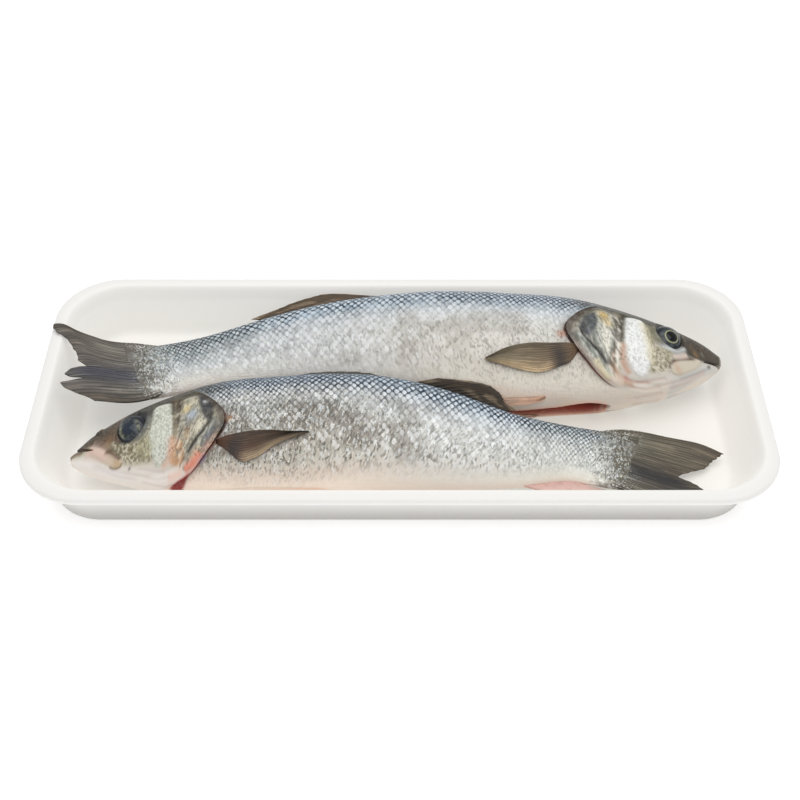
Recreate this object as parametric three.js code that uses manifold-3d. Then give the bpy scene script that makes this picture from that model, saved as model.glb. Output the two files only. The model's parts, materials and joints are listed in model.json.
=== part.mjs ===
// Two whole gutted branzino (European sea bass) laid head to tail in a shallow white tray.
// Millimetres, +Z up. The origin is the middle of the tray's underside. The rear fish's head points to +X
// and the front fish's head to -X. Both lie on one side, with the back away from the front wall of the tray.
import * as THREE from "three";
import { mergeVertices } from "three/addons/utils/BufferGeometryUtils.js";
import Module from "manifold-3d";

// ---- Driving dimensions ----
const TRAY = { length: 350, width: 154, height: 28.5, corner: 31, floor: 3, rim: 9 };
const GAP = 0.3; // clearance between touching pieces
const AROUND = 24; // points round one cross-section of a fish
const SECTION_POWER = 2.15; // 2 is an ellipse, more is squarer
const EYE = { width: 8.2, depth: 5.4, sunk: 3.6 };
const JAW_LENGTH = 0.07; // share of the standard length over which an underbite fades out
const ROOT_SINK = 1.5; // how far a fin's root is buried in the body
const FIN_THICK = 2; // a fin's thickness at its root; its edge is half of that

// The build of a sea bass, as shares of its standard length (snout to tail root), at stations along the body.
const STATION = [0, 0.03, 0.08, 0.16, 0.26, 0.38, 0.52, 0.66, 0.8, 0.92, 1];
const BACK = [0.011, 0.031, 0.056, 0.086, 0.1165, 0.122, 0.117, 0.1, 0.071, 0.059, 0.062];
const BELLY = [0.017, 0.043, 0.071, 0.098, 0.118, 0.136, 0.125, 0.108, 0.085, 0.065, 0.068];
const BREADTH = [0.011, 0.027, 0.043, 0.062, 0.071, 0.073, 0.069, 0.052, 0.033, 0.02, 0.012];

// The gill cover's free edge: station of the edge at each angle from the back (0) to the belly (180 degrees).
// COVER: the mesh ring that follows that edge, where the cover starts to rise, its height at the edge, the same
// for the cheek in front of it, and how far behind the edge the rings still lean.
const EDGE_ANGLE = [0, 40, 60, 75, 90, 105, 120, 135, 150, 165, 180];
const EDGE_STATION = [0.208, 0.214, 0.241, 0.267, 0.281, 0.267, 0.247, 0.227, 0.203, 0.168, 0.15];
const COVER = { at: 0.27, from: 0.17, proud: 1.3, cheek: 0.2, cheekProud: 0.6, fade: 0.33 };

// Rings of the body mesh, closest together on the head and at the two steps of the gill cover.
const RINGS = [
  0, 0.012, 0.03, 0.055, 0.08, 0.11, 0.14, 0.17, 0.198, 0.202, 0.235, 0.2695, 0.2705, 0.3, 0.34, 0.39, 0.44, 0.5,
  0.56, 0.62, 0.68, 0.74, 0.8, 0.86, 0.92, 0.97, 1,
];

// Each fish: standard length, its axis as [station, x, y, z], its roll as [station, degrees], which lifts the
// back, and underbite, how far the lower jaw juts past the upper one.
const REAR = {
  name: "rear_fish",
  length: 285,
  deep: 0.945,
  axis: [
    [0, 159, 21, 20],
    [0.15, 120, 22, 21.5],
    [0.32, 70, 25.5, 22.5],
    [0.56, 0, 30.5, 22.5],
    [0.78, -62, 31.5, 19.5],
    [0.9, -98, 23.5, 17.5],
    [1, -126, 16, 18],
  ],
  roll: [[0, 6], [0.2, 8], [0.5, 8], [0.8, 6], [1, 3]],
  underbite: 0,
  mouth: { gape: 0.5, depth: 24, height: -1, drop: 0.55 },
  eye: { at: 0.103, angle: 77 },
  pectoral: { root: [0.24, 100], tip: [0.408, 120], spread: 15, lift: 1.2 },
  secondDorsal: { from: 0.55, ray: 0.1, fold: 76, lean: 10, rays: [0.45, 0.84, 0.75, 0.56, 0.42] },
  // The tail fin: its free edge as [share from the upper to the lower ray, reach, height above the axis], its
  // outermost rays as [reach, height], and how far it bends up from its root.
  tail: {
    edge: [[0, 41, 33.5], [0.08, 40, 30], [0.18, 38, 24], [0.3, 34, 14], [0.44, 31, 2.5], [0.5, 29, -1],
      [0.54, 33, -1], [0.6, 37, -1.3], [0.66, 39.6, -4.2], [0.71, 37.5, -6.3], [0.75, 32, -7.6], [0.79, 38.5, -7.9],
      [0.84, 42, -8.3], [0.9, 38.6, -14.5], [1, 28, -25]],
    upper: [[-12, 15.5], [0, 20.8], [20, 21.4], [30, 26.4], [35, 32], [41, 33.5]],
    lower: [[-12, -14], [0, -19.5], [14, -23.9], [28, -25]],
    lift: 12,
  },
};
const FRONT = {
  name: "front_fish",
  length: 258,
  deep: 1,
  axis: [
    [0, -151, -41.5, 18],
    [0.15, -113, -35.5, 20],
    [0.32, -70, -33.5, 22],
    [0.56, -7, -30, 23],
    [0.78, 50, -34.5, 18],
    [0.9, 79, -34.5, 14],
    [1, 104, -38.5, 13],
  ],
  roll: [[0, 12], [0.2, 12], [0.5, 12], [0.8, 8], [1, 4]],
  underbite: 2.4,
  mouth: { gape: 1.8, depth: 20, height: 2.4, drop: 0.6 },
  eye: { at: 0.107, angle: 78 },
  pectoral: { root: [0.292, 111], tip: [0.425, 104.5], spread: 15, lift: 1.2 },
  secondDorsal: { from: 0.575, to: 0.755, ray: 0.108, fold: 76, lean: 56, rays: [0.7, 1, 0.85, 0.52, 0.34] },
  tail: {
    edge: [[0, 49.5, 17], [0.15, 45, 13], [0.3, 40.5, 7], [0.4, 33.5, 3], [0.5, 28.5, -1.5], [0.6, 34.5, -3.5],
      [0.75, 42, -7.5], [0.9, 43, -13], [1, 39, -17]],
    upper: [[-14, 15], [-6, 18.4], [0, 20], [18, 22.5], [38, 22], [49.5, 17]],
    lower: [[-12, -13], [0, -17.5], [20, -20], [39, -17]],
    lift: -6,
  },
};

// Upright fins, in shares of the standard length: root from/to, longest ray, fold back and lean to the upper side
// (degrees), and the ray lengths along the root as shares of the longest. side is +1 on the back, -1 on the belly.
const FIRST_DORSAL = { side: 1, from: 0.29, to: 0.55, ray: 0.06, fold: 72, lean: 0, rays: [0.4, 0.9, 1, 0.8, 0.4] };
const SECOND_DORSAL = { side: 1, from: 0.605, to: 0.775, rays: [0.5, 1, 0.9, 0.7, 0.4] };
const ANAL = { side: -1, from: 0.795, to: 0.9, ray: 0.1, fold: 80, lean: -4, rays: [0.9, 1, 1, 0.95, 0.9] };
const PELVIC = { root: [0.3, 159], tip: [0.45, 168], spread: 8, lift: 0.6 };
const SLIT = { from: 0.205, to: 0.52, gape: 3.2, depth: 13, angle: 178 };

const wasm = await Module();
wasm.setup();

// ---- General helpers ----

/** A smooth curve through the points (xs, ys), with its slope at each point taken from the two neighbours. */
function smooth(xs, ys, x) {
  const last = xs.length - 1;
  const clamped = Math.min(Math.max(x, xs[0]), xs[last]);
  let i = 0;
  while (i < last - 1 && clamped > xs[i + 1]) i++;
  const slope = (k) => {
    if (k === 0) return (ys[1] - ys[0]) / (xs[1] - xs[0]);
    if (k === last) return (ys[last] - ys[last - 1]) / (xs[last] - xs[last - 1]);
    const before = (ys[k] - ys[k - 1]) / (xs[k] - xs[k - 1]);
    const after = (ys[k + 1] - ys[k]) / (xs[k + 1] - xs[k]);
    return (before * (xs[k + 1] - xs[k]) + after * (xs[k] - xs[k - 1])) / (xs[k + 1] - xs[k - 1]);
  };
  const step = xs[i + 1] - xs[i];
  const f = (clamped - xs[i]) / step;
  const square = f * f;
  const cube = square * f;
  return (
    (2 * cube - 3 * square + 1) * ys[i] +
    (cube - 2 * square + f) * step * slope(i) +
    (3 * square - 2 * cube) * ys[i + 1] +
    (cube - square) * step * slope(i + 1)
  );
}

/** The same curve through rows [x, value, ...], for the value in the given column. */
function column(rows, x, index) {
  return smooth(rows.map((row) => row[0]), rows.map((row) => row[index]), x);
}

function radians(degrees) {
  return (degrees * Math.PI) / 180;
}

/** 0 below a, 1 above b, and a soft ramp between them. */
function ramp(a, b, x) {
  return THREE.MathUtils.smoothstep(x, a, b);
}

/** cos or sin turned into a superellipse: the sign kept, the size raised to 2 / SECTION_POWER. */
function rounded(value) {
  return Math.sign(value) * Math.abs(value) ** (2 / SECTION_POWER);
}

/** A closed BufferGeometry from rings of equal length, with a flat fan over the first and the last ring. */
function loft(rings) {
  const count = rings[0].length;
  const points = rings.flat();
  const index = [];
  for (let r = 0; r < rings.length - 1; r++) {
    for (let k = 0; k < count; k++) {
      const a = r * count + k;
      const b = r * count + ((k + 1) % count);
      index.push(a, b, a + count, b, b + count, a + count);
    }
  }
  const capAt = (ring, outward) => {
    const centre = new THREE.Vector3();
    for (const p of rings[ring]) centre.addScaledVector(p, 1 / count);
    const c = points.push(centre) - 1;
    for (let k = 0; k < count; k++) {
      const a = ring * count + k;
      const b = ring * count + ((k + 1) % count);
      if (outward) index.push(a, b, c);
      else index.push(b, a, c);
    }
  };
  capAt(0, false);
  capAt(rings.length - 1, true);
  const geometry = new THREE.BufferGeometry().setFromPoints(points);
  geometry.setIndex(index);
  return geometry;
}

/** A thin closed sheet: pointAt(a, r) is its middle surface, thicknessAt(a, r) its full thickness. */
function sheet(across, along, pointAt, thicknessAt) {
  const step = 0.01;
  const rings = [];
  for (let j = 0; j <= along; j++) {
    const r = j / along;
    const upper = [];
    const lower = [];
    for (let i = 0; i <= across; i++) {
      const a = i / across;
      const middle = pointAt(a, r);
      const alongA = pointAt(Math.min(a + step, 1), r).sub(pointAt(Math.max(a - step, 0), r));
      const alongR = pointAt(a, Math.min(r + step, 1)).sub(pointAt(a, Math.max(r - step, 0)));
      const normal = alongA.cross(alongR).normalize();
      const half = thicknessAt(a, r) / 2;
      upper.push(middle.clone().addScaledVector(normal, half));
      lower.push(middle.clone().addScaledVector(normal, -half));
    }
    rings.push([...upper, ...lower.reverse()]);
  }
  return loft(rings);
}

/** A geometry as a manifold-3d solid, turned right side out if its faces point inwards. */
function solid(geometry) {
  const bare = geometry.clone();
  bare.deleteAttribute("normal");
  bare.deleteAttribute("uv");
  const merged = mergeVertices(bare, 1e-3);
  const vertProperties = new Float32Array(merged.attributes.position.array);
  const triVerts = new Uint32Array(merged.index.array);
  const made = new wasm.Manifold(new wasm.Mesh({ numProp: 3, vertProperties, triVerts }));
  if (made.volume() > 0) return made;
  for (let i = 0; i < triVerts.length; i += 3) {
    [triVerts[i], triVerts[i + 1]] = [triVerts[i + 1], triVerts[i]];
  }
  return new wasm.Manifold(new wasm.Mesh({ numProp: 3, vertProperties, triVerts }));
}

/** A solid as a BufferGeometry with flat faces. */
function geometryOf(body) {
  const mesh = body.getMesh();
  const position = new Float32Array(mesh.numVert * 3);
  for (let i = 0; i < mesh.numVert; i++) {
    position.set(mesh.vertProperties.subarray(i * mesh.numProp, i * mesh.numProp + 3), i * 3);
  }
  const geometry = new THREE.BufferGeometry();
  geometry.setAttribute("position", new THREE.BufferAttribute(position, 3));
  geometry.setIndex(new THREE.BufferAttribute(new Uint32Array(mesh.triVerts), 1));
  return geometry;
}

// ---- Tray ----

/** The tray's section from the floor, up the inner wall, over the rim and down to the foot: x is the inset
 *  from the rim's widest outline and y the height. */
function trayProfile() {
  const { height, floor, rim } = TRAY;
  const lip = 4; // thickness of the rolled rim
  const path = new THREE.Path();
  path.moveTo(rim + 10.5, floor);
  path.quadraticCurveTo(rim + 6.6, floor, rim + 5.2, floor + 5.5);
  path.lineTo(rim, height - 7);
  path.quadraticCurveTo(rim - 1.2, height, rim - 3.4, height);
  path.lineTo(3, height);
  path.quadraticCurveTo(0, height, 0, height - lip / 2);
  path.quadraticCurveTo(0, height - lip, 2, height - lip);
  path.lineTo(rim - 5.6, height - lip);
  path.quadraticCurveTo(rim - 2.8, height - lip, rim - 2.4, height - lip - 2.5);
  path.lineTo(rim + 2.1, floor + 0.5);
  path.quadraticCurveTo(rim + 2.5, 0, rim + 6, 0);
  return path.getPoints(3);
}

/** The tray's outline at an inset and a height. The corners tighten a little slower than the inset grows. */
function trayOutline(inset, height) {
  const steps = 7;
  const radius = TRAY.corner - 0.55 * inset;
  const points = [];
  for (let corner = 0; corner < 4; corner++) {
    const right = corner === 0 || corner === 3 ? 1 : -1;
    const back = corner < 2 ? 1 : -1;
    const x = right * (TRAY.length / 2 - inset - radius);
    const y = back * (TRAY.width / 2 - inset - radius);
    for (let k = 0; k <= steps; k++) {
      const angle = (corner + k / steps) * (Math.PI / 2);
      points.push(new THREE.Vector3(x + radius * Math.cos(angle), y + radius * Math.sin(angle), height));
    }
  }
  return points;
}

function trayGeometry() {
  return geometryOf(solid(loft(trayProfile().map((p) => trayOutline(p.x, p.y)))));
}

/** How far in from the rim's outline the space inside the wall starts, at a height. */
function wallInset(z) {
  const { height, floor, rim } = TRAY;
  const heights = [floor, floor + 2, floor + 5.5, height - 3.5, height];
  return smooth(heights, [rim + 10.5, rim + 7.4, rim + 5.6, rim + 1.9, rim - 1], z);
}

// ---- Fish body ----

/** The axis point, the direction to the tail, to the back and to the upper side at a station. */
function axisFrame(fish, u) {
  const at = (v) => new THREE.Vector3(column(fish.axis, v, 1), column(fish.axis, v, 2), column(fish.axis, v, 3));
  const tailward = at(Math.min(u + 0.01, 1)).sub(at(Math.max(u - 0.01, 0))).normalize();
  const roll = radians(column(fish.roll, u, 1));
  const back = new THREE.Vector3(0, Math.cos(roll), Math.sin(roll));
  back.addScaledVector(tailward, -back.dot(tailward)).normalize();
  const side = tailward.clone().cross(back);
  if (side.z < 0) side.negate();
  return { centre: at(u), tailward, back, side };
}

/** Back, belly and half-breadth of the body at a station, in millimetres. */
function sectionSize(fish, u) {
  return {
    back: smooth(STATION, BACK, u) * fish.length * fish.deep,
    belly: smooth(STATION, BELLY, u) * fish.length * fish.deep,
    half: smooth(STATION, BREADTH, u) * fish.length,
  };
}

/** A soft body lies flat on the floor and against the side walls: its skin stops short of them by the margin. */
function rested(p, margin = GAP) {
  p.z = Math.max(p.z, TRAY.floor + margin);
  const wall = TRAY.width / 2 - wallInset(p.z) - margin;
  p.y = THREE.MathUtils.clamp(p.y, -wall, wall);
  return p;
}

/** The skin at a station and an angle (degrees: 0 back, 90 upper flank, 180 belly, 270 lower flank),
 *  raised by some millimetres. */
function skin(fish, u, angle, raised = 0, margin = GAP) {
  const { centre, tailward, back, side } = axisFrame(fish, u);
  const size = sectionSize(fish, u);
  const c = Math.cos(radians(angle));
  const s = Math.sin(radians(angle));
  const height = (c > 0 ? size.back : size.belly) * rounded(c);
  const width = size.half * rounded(s);
  const jut = fish.underbite * (1 - ramp(-0.3, 0.3, c)) * (1 - ramp(0, JAW_LENGTH, u));
  const p = centre.clone().addScaledVector(back, height).addScaledVector(side, width);
  p.addScaledVector(tailward, -jut);
  p.addScaledVector(back, raised * c).addScaledVector(side, raised * s);
  return rested(p, margin);
}

/** The station of mesh ring s at an angle: rings lean so that the one at COVER.at follows the gill cover's edge. */
function leaning(s, angle) {
  const folded = angle > 180 ? 360 - angle : angle;
  const shift = smooth(EDGE_ANGLE, EDGE_STATION, folded) - COVER.at;
  const hat = s < COVER.at ? s / COVER.at : Math.max(0, 1 - (s - COVER.at) / COVER.fade);
  return s + shift * hat;
}

/** How far the cheek and the gill cover stand proud of the body at mesh ring s. */
function coverRelief(s, angle) {
  const folded = angle > 180 ? 360 - angle : angle;
  const reach = ramp(20, 60, folded) * (1 - ramp(150, 178, folded));
  const cheek = s < COVER.cheek ? COVER.cheekProud * ramp(0.1, COVER.cheek, s) : 0;
  const cover = s < COVER.at ? COVER.proud * ramp(COVER.from, COVER.at, s) : 0;
  return (cheek + cover) * reach;
}

function bodyGeometry(fish) {
  const rings = RINGS.map((s) => {
    const ring = [];
    for (let k = 0; k < AROUND; k++) {
      const angle = (360 * k) / AROUND;
      ring.push(skin(fish, leaning(s, angle), angle, coverRelief(s, angle)));
    }
    return ring;
  });
  return loft(rings);
}

/** A wedge the full width of the head, open at the snout and ending at the corner of the mouth. */
function mouthCut(fish) {
  const { gape, depth, height, drop } = fish.mouth;
  const ahead = -8; // the wedge starts this far in front of the snout
  const { centre, tailward, back, side } = axisFrame(fish, 0);
  const inward = tailward.clone().addScaledVector(back, -drop).normalize();
  const open = inward.clone().cross(side).normalize();
  if (open.dot(back) < 0) open.negate();
  const tip = centre.clone().addScaledVector(back, height);
  const halfWidth = 25;
  const rings = [-halfWidth, halfWidth].map((w) => {
    const corner = (out, up) =>
      tip.clone().addScaledVector(inward, out).addScaledVector(open, up).addScaledVector(side, w);
    return [corner(ahead, gape), corner(depth, 0.15), corner(depth, -0.15), corner(ahead, -gape)];
  });
  return loft(rings);
}

/** A long narrow lens along the belly: the cut through which the fish was gutted. It is widest near the throat,
 *  keeps its width for half its depth and then narrows to an edge. */
function slitCut(fish) {
  const rings = [];
  const steps = 14;
  const outside = 6; // how far the cutting wedge stands out of the belly
  const edge = 0.1; // half the width left at its deepest line
  for (let i = 0; i <= steps; i++) {
    const f = i / steps;
    const u = SLIT.from + (SLIT.to - SLIT.from) * f;
    const { centre, tailward, back, side } = axisFrame(fish, u);
    const open = 2 * edge + SLIT.gape * smooth([0, 0.12, 0.45, 1], [0, 1, 0.5, 0], f);
    const depth = 1 + SLIT.depth * Math.sqrt(Math.sin(Math.PI * Math.min(1, f + 0.1)));
    const out = back.clone().multiplyScalar(Math.cos(radians(SLIT.angle)));
    out.addScaledVector(side, Math.sin(radians(SLIT.angle)));
    const over = out.clone().cross(tailward).normalize();
    const lip = centre.clone().addScaledVector(out, sectionSize(fish, u).belly);
    const corner = (away, across) => lip.clone().addScaledVector(out, away).addScaledVector(over, across);
    rings.push([corner(outside, open), corner(-depth * 0.5, open), corner(-depth, edge), corner(-depth, -edge),
      corner(-depth * 0.5, -open), corner(outside, -open)]);
  }
  return loft(rings);
}

// ---- Fins ----

function finThickness(a, r) {
  return FIN_THICK * (1 - 0.5 * r);
}

/** A fin standing on the back or the belly: rays from a root on the midline, folded back and leaning. */
function uprightFin(fish, fin) {
  const shares = fin.rays.map((_, i) => i / (fin.rays.length - 1));
  const pointAt = (a, r) => {
    const u = fin.from + (fin.to - fin.from) * a;
    const { centre, tailward, back, side } = axisFrame(fish, u);
    const size = sectionSize(fish, u);
    const reach = (fin.side > 0 ? size.back : size.belly) - ROOT_SINK;
    const ray = fish.length * fin.ray * smooth(shares, fin.rays, a) * r + ROOT_SINK * r;
    const up = ray * Math.cos(radians(fin.fold));
    const p = centre.clone().addScaledVector(back, fin.side * (reach + up * Math.cos(radians(fin.lean))));
    p.addScaledVector(side, up * Math.sin(radians(fin.lean)));
    p.addScaledVector(tailward, ray * Math.sin(radians(fin.fold)));
    return rested(p, GAP + FIN_THICK / 2);
  };
  return sheet(8, 3, pointAt, finThickness);
}

/** A leaf-shaped fin lying along the flank, on the upper (+1) or the lower (-1) side. */
function flankFin(fish, fin, side) {
  const pointAt = (a, r) => {
    const u = fin.root[0] + (fin.tip[0] - fin.root[0]) * r;
    const leaf = smooth([0, 0.25, 0.6, 0.85, 1], [0.45, 0.85, 1, 0.6, 0.12], r);
    const angle = fin.root[1] + (fin.tip[1] - fin.root[1]) * r + fin.spread * leaf * (a - 0.5) * 2;
    return skin(fish, u, side > 0 ? angle : 360 - angle, 0.2 + fin.lift * r, GAP + FIN_THICK / 2);
  };
  return sheet(4, 6, pointAt, finThickness);
}

/** The forked tail fin: rays fan out from a root inside the body to the free edge. Rays near the upper and the
 *  lower rim follow the bow of the outermost ray, and the whole fin bends up or down. */
function tailFin(fish) {
  const { edge, upper, lower, lift } = fish.tail;
  const { centre, tailward, back } = axisFrame(fish, 1);
  const level = new THREE.Vector3(tailward.x, tailward.y, 0).normalize();
  const upright = new THREE.Vector3(back.x, back.y, 0).normalize();
  const root = upper[0][0];
  const pointAt = (a, r) => {
    const straight = (share) => {
      const start = upper[0][1] + (lower[0][1] - upper[0][1]) * share;
      return start + (column(edge, share, 2) - start) * r;
    };
    const outer = a < 0.5 ? upper : lower;
    const end = outer[outer.length - 1][0];
    const bow = column(outer, root + (end - root) * r, 1) - straight(a < 0.5 ? 0 : 1);
    const along = root + (column(edge, a, 1) - root) * r;
    const p = centre.clone().addScaledVector(level, along);
    p.addScaledVector(upright, straight(a) + bow * Math.abs(1 - 2 * a));
    p.z += lift * ramp(-4, 34, along);
    return rested(p, GAP + FIN_THICK / 2);
  };
  return sheet(24, 6, pointAt, finThickness);
}

// ---- Eyes ----

/** A flattened ball set in the head on the upper (+1) or lower (-1) side, enlarged by some millimetres. */
function eyeball(fish, side, enlarged) {
  const angle = side > 0 ? fish.eye.angle : 360 - fish.eye.angle;
  const place = skin(fish, fish.eye.at, angle);
  const ahead = skin(fish, fish.eye.at - 0.02, angle);
  const above = skin(fish, fish.eye.at, angle - side * 20);
  const out = ahead.clone().sub(place).cross(above.clone().sub(place)).normalize();
  const { side: upper } = axisFrame(fish, fish.eye.at);
  if (out.dot(upper) * side < 0) out.negate();
  const geometry = new THREE.SphereGeometry(1, 12, 7);
  geometry.rotateX(Math.PI / 2);
  const flat = EYE.depth + enlarged;
  geometry.scale(EYE.width + enlarged, EYE.width + enlarged, flat);
  geometry.applyQuaternion(new THREE.Quaternion().setFromUnitVectors(new THREE.Vector3(0, 0, 1), out));
  place.addScaledVector(out, -EYE.sunk);
  geometry.translate(place.x, place.y, place.z);
  return geometry;
}

// ---- Assembly ----

const SKIN = new THREE.MeshStandardMaterial({ color: 0x9aa3a8, roughness: 0.35, metalness: 0.35 });
const EYE_GLOSS = new THREE.MeshStandardMaterial({ color: 0x2a2f33, roughness: 0.08, metalness: 0 });
const FOAM = new THREE.MeshStandardMaterial({ color: 0xf1efeb, roughness: 0.55, metalness: 0 });

/** One fish in one piece: body, head and every fin joined, with the mouth, the belly cut and the eye sockets. */
function fishGeometry(fish) {
  let body = solid(bodyGeometry(fish));
  body = body.subtract(solid(mouthCut(fish)));
  body = body.subtract(solid(slitCut(fish)));
  for (const side of [1, -1]) body = body.subtract(solid(eyeball(fish, side, GAP)));
  const fins = [
    uprightFin(fish, FIRST_DORSAL),
    uprightFin(fish, { ...SECOND_DORSAL, ...fish.secondDorsal }),
    uprightFin(fish, ANAL),
    tailFin(fish),
    flankFin(fish, fish.pectoral, 1),
    flankFin(fish, fish.pectoral, -1),
    flankFin(fish, PELVIC, 1),
    flankFin(fish, PELVIC, -1),
  ];
  for (const fin of fins) body = body.add(solid(fin));
  return geometryOf(body);
}

function namedMesh(name, geometry, material) {
  const mesh = new THREE.Mesh(geometry, material);
  mesh.name = name;
  return mesh;
}

const group = new THREE.Group();
group.add(namedMesh("tray", trayGeometry(), FOAM));
for (const fish of [REAR, FRONT]) {
  group.add(namedMesh(fish.name, fishGeometry(fish), SKIN));
  group.add(namedMesh(fish.name + "_upper_eye", eyeball(fish, 1, 0), EYE_GLOSS));
  group.add(namedMesh(fish.name + "_lower_eye", eyeball(fish, -1, 0), EYE_GLOSS));
}

export default group;
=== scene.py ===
# %% [markdown]
# # Two whole branzino, head to tail in a shallow tray
#
# A branzino, or European sea bass, is sold whole and gutted. Two of them lie on one side in a white foam
# tray, one with its head to the right and one with its head to the left. The solids of the tray and the fish
# are already packed, so this lesson only gives them their fine surface: scales, fins, gill covers, eyes and
# foam. Every shape below is a formula on a grid of numbers, and every finish is a small set of shader nodes.

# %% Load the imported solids
import json

import bpy
import numpy as np
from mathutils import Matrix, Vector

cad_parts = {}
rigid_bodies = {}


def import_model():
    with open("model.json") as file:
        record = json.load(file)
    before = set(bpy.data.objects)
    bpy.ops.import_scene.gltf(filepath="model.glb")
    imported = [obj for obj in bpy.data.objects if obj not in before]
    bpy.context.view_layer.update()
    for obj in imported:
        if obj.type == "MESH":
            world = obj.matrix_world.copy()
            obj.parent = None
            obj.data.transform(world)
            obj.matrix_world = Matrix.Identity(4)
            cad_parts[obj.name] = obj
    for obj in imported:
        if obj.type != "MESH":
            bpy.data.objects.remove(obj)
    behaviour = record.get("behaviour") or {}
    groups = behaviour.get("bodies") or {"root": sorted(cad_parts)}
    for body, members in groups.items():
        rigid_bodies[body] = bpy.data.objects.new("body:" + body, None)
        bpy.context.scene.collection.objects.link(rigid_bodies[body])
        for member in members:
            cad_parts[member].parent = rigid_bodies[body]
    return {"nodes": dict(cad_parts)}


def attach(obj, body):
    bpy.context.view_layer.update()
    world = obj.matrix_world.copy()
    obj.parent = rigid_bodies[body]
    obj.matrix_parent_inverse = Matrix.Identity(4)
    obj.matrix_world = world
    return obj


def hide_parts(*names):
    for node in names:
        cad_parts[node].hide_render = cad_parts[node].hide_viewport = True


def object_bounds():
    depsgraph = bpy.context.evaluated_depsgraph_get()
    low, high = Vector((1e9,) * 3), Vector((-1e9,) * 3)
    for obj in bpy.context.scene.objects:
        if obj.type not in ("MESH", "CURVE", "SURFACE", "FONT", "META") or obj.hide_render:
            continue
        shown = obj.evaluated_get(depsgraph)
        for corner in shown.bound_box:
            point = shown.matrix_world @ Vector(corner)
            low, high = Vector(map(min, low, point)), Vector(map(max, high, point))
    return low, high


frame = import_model()
cad_low, cad_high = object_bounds()
MM = 0.001
print("solids:", sorted(frame["nodes"]))

# %% [markdown]
# ## Curves through a few numbers
#
# A fish is soft and round, so its sizes are given at a few stations and read off a smooth curve in between.
# The curve is the same one that shaped the solids, so the fine surface lands where the solid is. The working
# unit is the millimetre, and the numbers turn into metres only when a mesh is made.

# %% Curves and ramps
LATTICE = 64


def smooth(xs, ys, x):
    """A Hermite curve through (xs, ys). The slope at an inner point is the mean of the two secants beside it,
    each weighted by the length of the other's interval. The end slopes are the end secants."""
    xs, ys = np.asarray(xs, float), np.asarray(ys, float)
    x = np.clip(x, xs[0], xs[-1])
    step = np.diff(xs)
    secant = np.diff(ys) / step
    inner = (secant[:-1] * step[1:] + secant[1:] * step[:-1]) / (step[1:] + step[:-1])
    slope = np.concatenate([secant[:1], inner, secant[-1:]])
    i = np.clip(np.searchsorted(xs, x, side="right") - 1, 0, len(xs) - 2)
    f = (x - xs[i]) / step[i]
    square, cube = f * f, f * f * f
    return (
        (2 * cube - 3 * square + 1) * ys[i]
        + (cube - 2 * square + f) * step[i] * slope[i]
        + (3 * square - 2 * cube) * ys[i + 1]
        + (cube - square) * step[i] * slope[i + 1]
    )


def column(rows, x, index):
    """The same curve through rows [x, value, ...], for the value in the given column."""
    rows = np.array(rows, float)
    return smooth(rows[:, 0], rows[:, index], x)


def ramp(a, b, x):
    """0 below a, 1 above b, and 3t^2 - 2t^3 in between."""
    t = np.clip((x - a) / (b - a), 0, 1)
    return t * t * (3 - 2 * t)


def bell(centre, width, x):
    """1 at the centre, falling as exp(-(distance / width)^2)."""
    return np.exp(-(((x - centre) / width) ** 2))


def unit(v):
    """The vectors v, each divided by its length."""
    return v / np.linalg.norm(v, axis=-1, keepdims=True)


def mottle(x, y, seed):
    """Soft random patches about one unit across, from 0 to 1: random corners of a square lattice, blended by
    3t^2 - 2t^3 along both sides. The lattice repeats after LATTICE units."""
    table = np.random.default_rng(seed).random((LATTICE, LATTICE))
    i, j = np.floor(x).astype(int), np.floor(y).astype(int)
    f, g = ramp(0, 1, x - i), ramp(0, 1, y - j)

    def corner(di, dj):
        return table[(i + di) % LATTICE, (j + dj) % LATTICE]

    near = corner(0, 0) * (1 - f) + corner(1, 0) * f
    far = corner(0, 1) * (1 - f) + corner(1, 1) * f
    return near * (1 - g) + far * g


print("a curve read halfway:", float(smooth([0, 1, 2], [0, 3, 4], 1.5)))

# %% [markdown]
# ## From numbers to meshes
#
# Every piece below is a tube of rings: a fish is one, and so is a fin, whose ring runs over its upper face
# and back under its lower face. One helper closes both ends and makes the faces point outwards, by checking
# the sign of the enclosed volume. It also stores numbers on the vertices, such as how dark the scale edges
# are there, for the finishes to read.

# %% Mesh maker


def enclosed_volume(points, triangles):
    """A sixth of the sum of p0 . (p1 x p2) over the triangles, positive when the faces point out."""
    p = points[triangles]
    return np.einsum("ij,ij->", p[:, 0], np.cross(p[:, 1], p[:, 2])) / 6


def ring_faces(rings, count, flat):
    """Quads between neighbouring rings of a closed tube. Its ends are closed by triangles to two centres, or
    on a flat sheet, whose rings run out on the top and back below, by quads from one row to the other."""
    r, k = np.meshgrid(np.arange(rings - 1), np.arange(count), indexing="ij")
    a = r * count + k
    b = r * count + (k + 1) % count
    quads = np.stack([a, b, b + count, a + count], -1).reshape(-1, 4)
    far = (rings - 1) * count
    if flat:
        k = np.arange(count // 2 - 1)
        strip = np.stack([k + 1, k, count - 1 - k, count - 2 - k], -1)
        return np.concatenate([quads, strip, far + strip[:, ::-1]]), np.zeros((0, 3), int)
    k = np.arange(count)
    start = np.stack([(k + 1) % count, k, np.full(count, rings * count)], -1)
    end = np.stack([far + k, far + (k + 1) % count, np.full(count, rings * count + 1)], -1)
    return quads, np.concatenate([start, end])


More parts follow.
